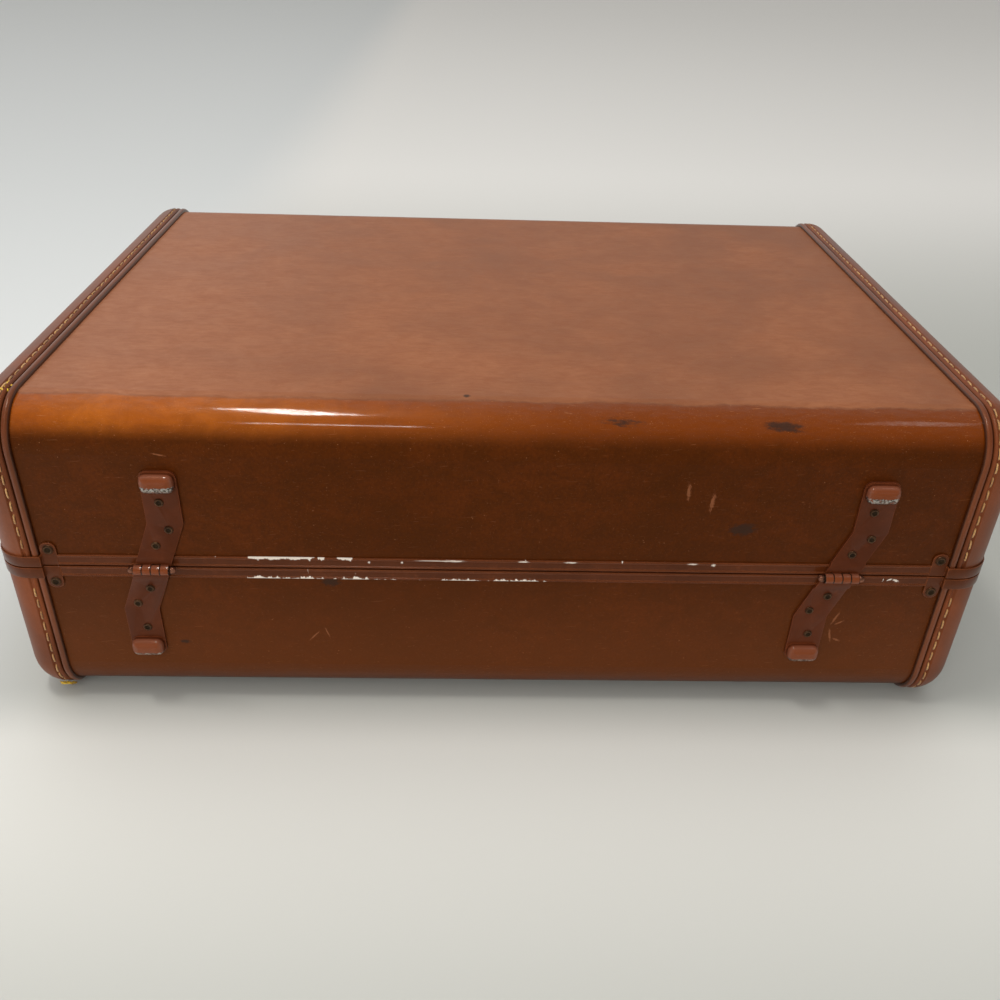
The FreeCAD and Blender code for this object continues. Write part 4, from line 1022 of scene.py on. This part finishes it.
def lay_stitch(sources, place, ahead, up, chance):
    """Copy of the stitch at a place, along one direction, with its back towards another."""
    ahead = ahead.normalized()
    aside = up.cross(ahead).normalized()
    sway = math.radians(chance.uniform(-4, 4))
    turned = (ahead * math.cos(sway) + aside * math.sin(sway)).normalized()
    matrix = Matrix((up.cross(turned), up, turned)).transposed().to_4x4()
    slip = aside * chance.uniform(-0.15, 0.15) * MM + ahead * chance.uniform(-0.3, 0.3) * MM
    sources.append(laid(stitch, Matrix.Translation(place + slip) @ matrix))


chance = random.Random(7)
SEAM_GAP = 4.5 * MM
ROW_HEIGHT = LEATHER - THREAD_HALF - 0.05 * MM
INNER_ROW = 24 * MM
INNER_ROUND = WINDOW_ROUND + 4 * MM
INNER_FACE = END_FACE - 0.55 * MM
middle = Vector((0, MIDDLE_Y, MIDDLE_Z))
rows = {}
for side, sign in (("right", 1), ("left", -1)):
    for body in ("base", "lid"):
        rows[body, side] = []
    outer = loop_spots(HALF_DEPTH + ROW_HEIGHT, HALF_HEIGHT + ROW_HEIGHT, LONG_EDGE + ROW_HEIGHT)
    inner = loop_spots(HALF_DEPTH - INNER_ROW, HALF_HEIGHT - INNER_ROW, INNER_ROUND)
    for spots, along, on_wall in ((outer, STITCH_ROW, True), (inner, INNER_FACE, False)):
        for (y, z), angle in spots:
            place = middle + Vector((sign * along, y, z))
            up = Vector((0, math.cos(angle), math.sin(angle))) if on_wall else Vector((sign, 0, 0))
            ahead = Vector((0, -math.sin(angle), math.cos(angle)))
            body = "lid" if place.z > SEAM else "base"
            edge = lid_rim_high.z if body == "lid" else rim_low.z
            if abs(place.z - SEAM) > abs(edge - SEAM) + SEAM_GAP:
                lay_stitch(rows[body, side], place, ahead, up, chance)
for (body, side), stitches in rows.items():
    print(len(stitches), "stitches")
    settle(gather(stitches), f"{body}_stitches_{side}", body, "binding_leather", material=THREAD, smooth=60)

# %% Knots where the thread was tied off
# Each knot: body, side of the case, and its place on the walls in millimetres
KNOTS = [("lid", "left", (-284.5, -188.0, 215.1)), ("base", "left", (-284.6, -208.5, 6.8))]
STRANDS = 14

for body, side, spot in KNOTS:
    strands = []
    centre = Vector(spot) * MM
    edge_middle = SEAM + math.copysign(STRAIGHT_HEIGHT / 2, centre.z - SEAM)
    up = (centre - Vector((centre.x, WALL_BACK + LONG_EDGE, edge_middle))).normalized()
    along = up.cross(Vector((1, 0, 0)))
    for number in range(STRANDS):
        turn = chance.uniform(0, math.pi)
        aside = Vector((1, 0, 0)) * chance.uniform(-1.6, 1.6) * MM + along * chance.uniform(-5.5, 5.5) * MM
        lift = up * chance.uniform(-1.0, -0.1) * MM
        ahead = Vector((math.cos(turn), 0, 0)) + along * math.sin(turn)
        lay_stitch(strands, centre + aside + lift, ahead, up, chance)
    settle(gather(strands), f"{body}_knot_{side}", body, "binding_leather", material=FRESH_THREAD, smooth=60)

# %% [markdown]
# ## Painted metal: rims, end rims and hinges
#
# The long rims are thin steel rails, folded over the edge of each wall. A flat bar would look dead:
# the real rail has a raised lip along both borders and was never quite straight. So its section is
# drawn, and then carried along the case in short steps that wander by a few hundredths of a
# millimetre. The end rims and the hinge leaves have the right shape already, except that pressed
# and painted metal has no sharp edges: each gets a merged copy with rounded ones.

# %% Long rims
RIM_HEIGHT = rim_high.z - rim_low.z
RIM_THICKNESS = WALL_BACK - rim_low.y
RIM_WEB = rim_high.z - BASE_CUT
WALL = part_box("base_rim_back")[1].y - WALL_BACK
LIP = 1.1 * MM
RECESS = 0.45 * MM
RIM_STEPS = 41


def rim_section(face, side, edge, half):
    """Closed section of a rail: out from the wall, and away from the seam."""
    section = [(-WALL, 0), (RIM_THICKNESS - 0.4 * MM, 0), (RIM_THICKNESS, 0.35 * MM), (RIM_THICKNESS, LIP),
               (RIM_THICKNESS - RECESS, LIP + RECESS), (RIM_THICKNESS - RECESS, RIM_HEIGHT - LIP - RECESS),
               (RIM_THICKNESS, RIM_HEIGHT - LIP), (RIM_THICKNESS, RIM_HEIGHT - 0.3 * MM),
               (RIM_THICKNESS - 0.35 * MM, RIM_HEIGHT), (0, RIM_HEIGHT), (0, RIM_WEB), (-WALL, RIM_WEB)]
    return [(face + side * out, edge + half * down) for out, down in section]


def long_rim(name, body, face, side, edge, half, chance):
    """One rail: its section, drawn on along the case in slightly uneven steps."""
    start = rim_low.x
    step = (rim_high.x - start) / RIM_STEPS
    points = [(start, y, z) for y, z in rim_section(face, side, edge, half)]
    rail = drawn(points + points[:1])
    pick_all()
    bpy.ops.mesh.remove_doubles(threshold=0.01 * MM)
    pick_all()
    bpy.ops.mesh.edge_face_add()
    drift = Vector((0, 0, 0))
    for number in range(RIM_STEPS):
        last = number == RIM_STEPS - 1
        goal = Vector((0, 0, 0)) if last else Vector((0, -side * chance.uniform(0, 0.07),
                                                      half * chance.uniform(0, 0.07))) * MM
        move = Vector((step, 0, 0)) + goal - drift
        draw_on(move)
        drift = goal
    complete(rail)
    settle(rail, name + "_rail", body, "painted_rim", [name])


chance = random.Random(11)
for side_name, face, side in (("back", WALL_BACK, -1), ("front", WALL_FRONT, 1)):
    long_rim(f"base_rim_{side_name}", "base", face, side, rim_high.z, -1, chance)
    long_rim(f"lid_rim_{side_name}", "lid", face, side, lid_rim_low.z, 1, chance)


# %% Nodes of the frame with rounded edges
def merged(name):
    """Open copy of a frame node, its doubled corners merged and its coplanar triangles joined."""
    copy = bpy.data.objects.new(name + "_merged", nodes[name].data.copy())
    bpy.context.collection.objects.link(copy)
    open_mesh(copy)
    pick_all()
    bpy.ops.mesh.remove_doubles(threshold=0.002 * MM)
    bpy.ops.mesh.dissolve_limited(angle_limit=math.radians(0.5))
    return copy


def softened(name, width, segments=2):
    """Copy of a frame node with rounded edges."""
    copy = merged(name)
    close_mesh()
    work(copy, "BEVEL", width=width, segments=segments, angle_limit=math.radians(35), use_clamp_overlap=True)
    return copy


def body_of(node):
    """The body that a node of the frame rides on."""
    return next(body for body, members in frame["record"]["behaviour"]["bodies"].items() if node in members)


def slot_of(node):
    """The finish that the record gives a node."""
    return next(part["material_slot"] for part in frame["record"]["subparts"] if part["node"] == node)


def stand_in(piece, node, ending, **settings):
    """Settle a piece in the place of one node: same body and same finish."""
    settle(piece, node + ending, body_of(node), slot_of(node), [node], **settings)


# Pairs of nodes and the radius of their rounded edges, in millimetres
SOFTENED = {"base_end_rim": 0.3, "lid_end_rim": 0.3, "latch_case": 0.5, "latch_slide": 0.4, "hasp": 0.4,
            "hasp_plate": 0.4, "handle_bracket": 0.4}
for pair, width in SOFTENED.items():
    for side in ("left", "right"):
        stand_in(softened(f"{pair}_{side}", width * MM), f"{pair}_{side}", "_rounded")
stand_in(softened("handle_eyes", 0.35 * MM), "handle_eyes", "_rounded")

# %% [markdown]
# ## Rivets
#
# The rivets are tubular ones, set with a dished head: a raised ring around a dark hollow. A plain
# dome would miss that ring, which is what catches the light. One rivet is drawn as half a section,
# spun once round, and copied to the middle of each rivet of the frame, with its width taken from it.

# %% One rivet
HOLLOW = make_metal("rivet hollow", (52, 38, 24), (76, 58, 38), (112, 88, 60), 0.5, 240, 0.7)
RIVET_HEAD = 1.1 * MM
RIVET_HALF = 2.7 * MM
SHANK = 0.6 * RIVET_HALF
rivet_section = [(0, 0.22), (0.25, 0.24), (0.45, 0.42), (0.58, 0.8), (0.7, 1.0), (0.84, 0.86), (0.96, 0.5),
                 (1.0, 0.0)]
rivet = drawn([(out * RIVET_HALF, 0, up * RIVET_HEAD) for out, up in rivet_section]
              + [(SHANK, 0, 0), (SHANK, 0, -MM)])
pick_all()
bpy.ops.mesh.spin(steps=18, angle=2 * math.pi, center=(0, 0, 0), axis=(0, 0, 1))
complete(rivet)
rivet.data.materials.append(FINISHES["dark_rivet"])
rivet.data.materials.append(HOLLOW)
open_mesh(rivet)
pick(rivet, "face",
     lambda face: face.calc_center_median().xy.length < 0.55 * RIVET_HALF and face.normal.z > 0)
rivet.active_material_index = 1
bpy.ops.object.material_slot_assign()
close_mesh()
print("one rivet has", len(rivet.data.polygons), "faces")


# %% Copies of the rivet
def islands(node):
    """Boxes of the separate solids in one node of the frame."""
    mesh = bmesh.new()
    mesh.from_mesh(nodes[node].data)
    bmesh.ops.remove_doubles(mesh, verts=mesh.verts, dist=0.002 * MM)
    left = set(mesh.verts)
    boxes = []
    while left:
        group = [left.pop()]
        for corner in group:
            for edge in corner.link_edges:
                other = edge.other_vert(corner)
                if other in left:
                    left.remove(other)
                    group.append(other)
        low = Vector([min(corner.co[axis] for corner in group) for axis in range(3)])
        high = Vector([max(corner.co[axis] for corner in group) for axis in range(3)])
        boxes.append((low, high))
    mesh.free()
    return sorted(boxes, key=lambda box: tuple(box[0]))


def set_rivets(node, chance):
    """The modelled rivet at each rivet of one node, a little turned and tipped."""
    pieces = []
    for low, high in islands(node):
        side = 1 if low.y > MIDDLE_Y else -1
        outer = high.y if side > 0 else low.y
        head = Vector(((low.x + high.x) / 2, outer - side * RIVET_HEAD, (low.z + high.z) / 2))
        spread = (high.x - low.x) / 2 / RIVET_HALF
        turn = Matrix.Rotation(-side * math.pi / 2, 4, "X") @ Matrix.Rotation(chance.uniform(0, 3), 4, "Z")
        tip = Matrix.Rotation(chance.uniform(-0.04, 0.04), 4, "X")
        tip = tip @ Matrix.Rotation(chance.uniform(-0.04, 0.04), 4, "Z")
        shape = Matrix.Diagonal((spread, spread, 0.97, 1))
        pieces.append(laid(rivet, Matrix.Translation(head) @ tip @ turn @ shape))
    stand_in(gather(pieces), node, "_set", smooth=60, keep_finish=True)


chance = random.Random(5)
for node in ("base_rim_rivets", "lid_rim_rivets", "base_hinge_rivets", "lid_hinge_rivets", "latch_rivets",
             "handle_rivets", "hasp_rivets"):
    set_rivets(node, chance)
bpy.data.objects.remove(rivet)

# %% [markdown]
# ## Hinges
#
# Each leaf is pressed from sheet: its outer edges roll down to the wall, and its end is drawn into a
# domed foot that the case can lie on. The leaf itself is a rounded copy of the frame's leaf, with the
# block of its foot pressed flat. The foot is a box with rounded corners, inset three times and pushed
# out, and then smoothed by a subdivision surface, which is the simplest way to a pressed dome.

# %% Hinge leaves
LEAF_FACE = WALL_BACK - 1.6 * MM
FOOT_START = 54.5 * MM
FOOT_ROUND = 4.0 * MM
# Steps of the dome, in millimetres: how far inwards and how far out
FOOT_STEPS = ((1.6, 1.5), (2.2, 0.75), (1.6, 0.15))


def leaf(node):
    """Leaf with rolled edges and without its foot."""
    piece = merged(node)
    pick(piece, "corner", lambda corner: abs(corner.co.z - SEAM) > FOOT_START - 2 * MM
         and corner.co.y < LEAF_FACE - 0.1 * MM)
    bpy.ops.transform.resize(value=(1, 0, 1), center_override=(0, LEAF_FACE - 0.3 * MM, 0))
    close_mesh()
    work(piece, "BEVEL", width=0.5 * MM, segments=3, angle_limit=math.radians(40), use_clamp_overlap=True)
    return piece


def foot(node):
    """Domed foot at the end of a leaf."""
    low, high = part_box(node)
    half = 1 if high.z > SEAM + FOOT_START else -1
    corners = [corner.co for corner in nodes[node].data.vertices if abs(corner.co.z - SEAM) > FOOT_START
               and corner.co.y < LEAF_FACE - MM]
    left = min(corner.x for corner in corners)
    right = max(corner.x for corner in corners)
    near = min(abs(corner.z - SEAM) for corner in corners)
    far = max(abs(corner.z - SEAM) for corner in corners)
    tall = WALL_BACK - low.y
    middle = ((left + right) / 2, WALL_BACK - 0.34 * tall, SEAM + half * (near + far) / 2)
    piece = sized("cube", middle, (right - left, 0.7 * tall, far - near))
    open_mesh(piece)
    pick(piece, "edge", lambda edge: along_axis(edge, 1))
    bpy.ops.mesh.bevel(offset=FOOT_ROUND, segments=3, affect="EDGES")
    pick(piece, "face", lambda face: face.normal.y > 0.9)
    bpy.ops.mesh.delete(type="FACE")
    for inward, out in FOOT_STEPS:
        pick(piece, "face", lambda face: face.normal.y < -0.99)
        bpy.ops.mesh.inset(thickness=inward * MM, depth=out * MM)
    close_mesh()
    work(piece, "SUBSURF", levels=2, render_levels=2)
    return piece


for half_name in ("base", "lid"):
    for side_name in ("left", "right"):
        node = f"hinge_leaf_{half_name}_{side_name}"
        stand_in(leaf(node), node, "_pressed")
        settle(foot(node), f"hinge_foot_{half_name}_{side_name}", half_name, "painted_hinge", smooth=60)

# %% [markdown]
# ## The handle
#
# The grip is stuffed hide sewn round a core: an oval tube with two tight bends, thinner where it
# enters the metal eyes, with a seam along its upper side. A circle is pressed to an oval and carried
# along: down, round the first bend, across, round the second and up again. The seam is a row of short
# stitches, since that is where the two edges of the wrap meet.

# %% Grip
grip_low, grip_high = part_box("handle_grip")
GRIP_WIDE = 20 * MM
GRIP_DEEP = grip_high.y - grip_low.y
GRIP_BEND = 24 * MM
GRIP_SWELL = (1.1, 1.08, 1.05)
BAR_STEPS = 8
leg = grip_high.x - GRIP_WIDE / 2
grip_y = (grip_low.y + grip_high.y) / 2
bar_height = grip_low.z + GRIP_WIDE / 2
bend_height = bar_height + GRIP_BEND

grip = primitive("circle", vertices=28, radius=GRIP_WIDE / 2, fill_type="NGON",
                 location=(leg, grip_y, grip_high.z))
open_mesh(grip)
pick_all()
bpy.ops.transform.resize(value=(0.8, 0.8 * GRIP_DEEP / GRIP_WIDE, 1), center_override=(leg, grip_y, 0))
drop = (grip_high.z - bend_height) / len(GRIP_SWELL)
for share in GRIP_SWELL:
    draw_on((0, 0, -drop))
    bpy.ops.transform.resize(value=(share, share, 1), center_override=(leg, grip_y, 0))
bpy.ops.mesh.spin(steps=10, angle=-math.pi / 2, center=(leg - GRIP_BEND, grip_y, bend_height), axis=(0, 1, 0))
open_bar = 2 * (leg - GRIP_BEND)
for number in range(BAR_STEPS):
    draw_on((-open_bar / BAR_STEPS, 0, 0))
bpy.ops.mesh.spin(steps=10, angle=-math.pi / 2, center=(GRIP_BEND - leg, grip_y, bend_height), axis=(0, 1, 0))
for share in reversed(GRIP_SWELL):
    draw_on((0, 0, drop))
    bpy.ops.transform.resize(value=(1 / share, 1 / share, 1), center_override=(-leg, grip_y, 0))
complete(grip)
print("grip spans", [round(side, 4) for side in grip.dimensions])
settle(grip, "handle_grip_sewn", "handle", "grip_leather", ["handle_grip"], smooth=60)


# %% Seam of the grip
SEAM_STITCH = 7.0 * MM
seam = []
chance = random.Random(3)
top = bar_height + GRIP_WIDE / 2 - 0.45 * MM
count = round(open_bar / SEAM_STITCH)
for number in range(count):
    x = (number + 0.5) * open_bar / count - open_bar / 2
    lay_stitch(seam, Vector((x, grip_y, top)), Vector((1, 0, 0)), Vector((0, 0, 1)), chance)
for side in (-1, 1):
    for turn in (24, 52, 78):
        inner = GRIP_BEND - GRIP_WIDE / 2 + 0.45 * MM
        out = Vector((side * math.sin(math.radians(turn)), 0, -math.cos(math.radians(turn))))
        centre = Vector((side * (leg - GRIP_BEND), grip_y, bend_height))
        lay_stitch(seam, centre + inner * out, out.cross(Vector((0, 1, 0))), -out, chance)
settle(gather(seam), "handle_seam_stitches", "handle", "grip_leather", material=THREAD, smooth=60)

# %% [markdown]
# ## The inside: linings, pocket and packing straps
#
# Both halves are lined with striped cloth pasted on card, so the lining is a stiff tray with soft
# rounded borders. The lid has a long pocket of plain cloth, gathered on an elastic along its mouth.
# A gathered cloth is wider than the place it fills, and the surplus stands up in pleats that die away
# towards the sewn edge. Cloth simulation could find these pleats, but their number and spacing come
# from the sewing, so they are formed directly. Two webbing straps cross the base.

# %% Linings
for name in ("base_lining", "lid_lining"):
    stand_in(softened(name, 0.9 * MM, segments=3), name, "_cloth")

# %% Gathered pocket
pocket_low, pocket_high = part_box("lid_pocket")
POCKET_COLUMNS = 260
POCKET_ROWS = 36
PLEAT = 13.5 * MM
HEM = 11 * MM
CLOTH = 0.5 * MM
PLEAT_DEPTH = 2.9 * MM
SWELL = 2.2 * MM
BORDER = 30 * MM

pocket_middle = (pocket_low + pocket_high) / 2
pocket_size = pocket_high - pocket_low
pocket_middle.z = pocket_high.z - MM
pocket = sized("grid", pocket_middle, (pocket_size.x, pocket_size.y, 1), x_subdivisions=POCKET_COLUMNS,
               y_subdivisions=POCKET_ROWS)
for corner in pocket.data.vertices:
    x, y = corner.co.x, corner.co.y
    up_to_mouth = (y - pocket_low.y) / pocket_size.y
    inset = min(x - pocket_low.x, pocket_high.x - x, BORDER) / BORDER
    fade = min(1.0, inset * 1.4) * (0.12 + 0.88 * up_to_mouth ** 1.5)
    wander = turbulence(Vector((x * 16, y * 9, 0.3)), 3, False)
    pleat = 0.5 + 0.5 * math.sin(2 * math.pi * x / PLEAT + 5.0 * wander)
    swell = SWELL * math.sin(math.pi * min(1.0, up_to_mouth * 1.02)) * min(1.0, inset * 1.5)
    depth = fade * PLEAT_DEPTH * pleat + swell
    to_hem = pocket_high.y - y
    if to_hem < HEM:
        depth = 1.6 * MM + 1.1 * MM * math.sin(math.pi * to_hem / HEM) + 0.9 * MM * pleat
    corner.co.z -= min(depth, pocket_size.z - 1.6 * MM)
work(pocket, "SOLIDIFY", thickness=CLOTH, offset=0.0)
settle(pocket, "lid_pocket_gathered", "lid", "pocket_cloth", ["lid_pocket"], smooth=70)

# %% Packing straps
STRAP_ROWS = 90
STRAP_LIFT = 1.5 * MM
STRAP_SWAY = 0.4 * MM


def strap(node):
    """Webbing laid along the base, wavering a little sideways, with a slight ripple that fades out at its
    ends and beside its buckle.
    """
    low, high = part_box(node)
    buckle_low, buckle_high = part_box("strap_buckles")
    thick = high.z - low.z
    middle = ((low.x + high.x) / 2, (low.y + high.y) / 2, low.z + thick / 2)
    piece = sized("grid", middle, (high.x - low.x, high.y - low.y, 1), x_subdivisions=6,
                  y_subdivisions=STRAP_ROWS)
    for corner in piece.data.vertices:
        x, y = corner.co.x, corner.co.y
        ends = min(1.0, min(y - low.y, high.y - y) / (35 * MM))
        clear = min(1.0, max(0.0, abs(y - (buckle_low.y + buckle_high.y) / 2) / (24 * MM) - 0.6))
        ripple = turbulence(Vector((x * 4, y * 11, low.x * 3)), 2, False)
        corner.co.z += ends * clear * STRAP_LIFT * max(0.0, ripple)
        corner.co.x += STRAP_SWAY * math.sin(y * 60)
    work(piece, "SOLIDIFY", thickness=thick * 0.8, offset=0.0)
    work(piece, "BEVEL", width=0.3 * MM, segments=2, angle_limit=SHARP)
    return piece


for side_name in ("left", "right"):
    node = f"packing_strap_{side_name}"
    stand_in(strap(node), node, "_webbing", smooth=50)
stand_in(softened("strap_buckles", 0.6 * MM, segments=3), "strap_buckles", "_rounded")
stand_in(softened("closing_lip", 0.3 * MM), "closing_lip", "_rounded")
bpy.data.objects.remove(stitch)

# %% [markdown]
# ## Floor, light and sky
#
# A case like this is best shown on a pale table under large soft lights. The floor is one wide plane,
# painted paler at its far side. It also has painted light: it is painted paler on the left, where more
# light falls, and in a strip before the case, which lightens the case's shadow there. The sky is bright
# on the side behind the case and dimmer behind the camera, as in a room with pale walls. Of the five
# lamps, two are large and only light the case; three small ones also show as highlights on its long edge.

# %% The floor
FLOOR_SIZE = 14

floor = primitive("plane", size=FLOOR_SIZE, location=(0, 0, 0))
floor.name = "table_top"
material, end = new_material("pale table", Roughness=0.5)
place = place_on()
across, away, _ = axes(place)
surface = blend(noise(place, 1.5, 2.0), tone(177, 179, 173), tone(184, 185, 179))
surface = blend(ease(away, 0.25, 1.3), surface, tone(248, 246, 242))
# Painted light: a paler strip before the case, which lightens the case's shadow there
painted_light_strip = ease(away, -0.2, -0.26) * ease(away, -0.52, -0.28)
surface = blend(painted_light_strip * 0.8, surface, tone(232, 231, 225))
# Painted light: paler on the left, where more light falls
surface = blend(ease(across, -0.26, -0.5), surface, tone(228, 231, 231))
feed(end, "Base Color", surface)
floor.data.materials.append(material)

# %% The sky
world = bpy.data.worlds.new("studio")
world.use_nodes = True
bpy.context.scene.world = world
open_net(world.node_tree)
backdrop = next(node for node in net.nodes if node.type == "BACKGROUND")
across, away, height = axes(add("TexCoord", "Generated"))
behind = ease(away, -0.35, 0.5)
leftward = ease(across, 0.6, -0.6, 0.35, 1.0)
near_horizon = ease(height, 0.38, 0.12)
level = larger(0.24 + behind * leftward * 0.6, near_horizon * 0.66)
feed(backdrop.inputs, "Color", blend(level, (0, 0, 0, 1), (1.0, 0.985, 0.95, 1)))


# %% The lamps
def lamp(name, place, aim, size, watts, warmth=(1, 1, 1), mirrored_too=True):
    data = bpy.data.lights.new(name, "AREA")
    data.shape = "RECTANGLE"
    data.size, data.size_y = size
    data.energy = watts
    data.color = warmth
    holder = bpy.data.objects.new(name, data)
    holder.location = place
    holder.rotation_euler = (Vector(aim) - Vector(place)).to_track_quat("-Z", "Y").to_euler()
    holder.visible_glossy = mirrored_too
    bpy.context.collection.objects.link(holder)


WARM = (1.0, 0.97, 0.92)

lamp("ceiling light", (-0.3, 0.1, 3.4), (0, 0.0, 0), (5.0, 5.0), 41, mirrored_too=False)
lamp("front light", (-0.6, -2.6, 1.5), (0, -0.3, 0.05), (3.0, 1.6), 42, mirrored_too=False)
lamp("small ceiling light", (-0.4, -0.33, 1.7), (-0.1, -0.2, 0.2), (0.40, 0.15), 7.0, WARM)
lamp("narrow ceiling light", (-0.36, -1.3, 1.7), (-0.1, -0.2, 0.2), (0.42, 0.06), 1.5, WARM)
lamp("faint ceiling light", (0.95, -0.4, 1.7), (0.2, -0.2, 0.2), (0.3, 0.2), 0.35, WARM)
print("light: one sky, five lamps")

# %% Plain colours, as written
bpy.context.scene.view_settings.view_transform = "Standard"
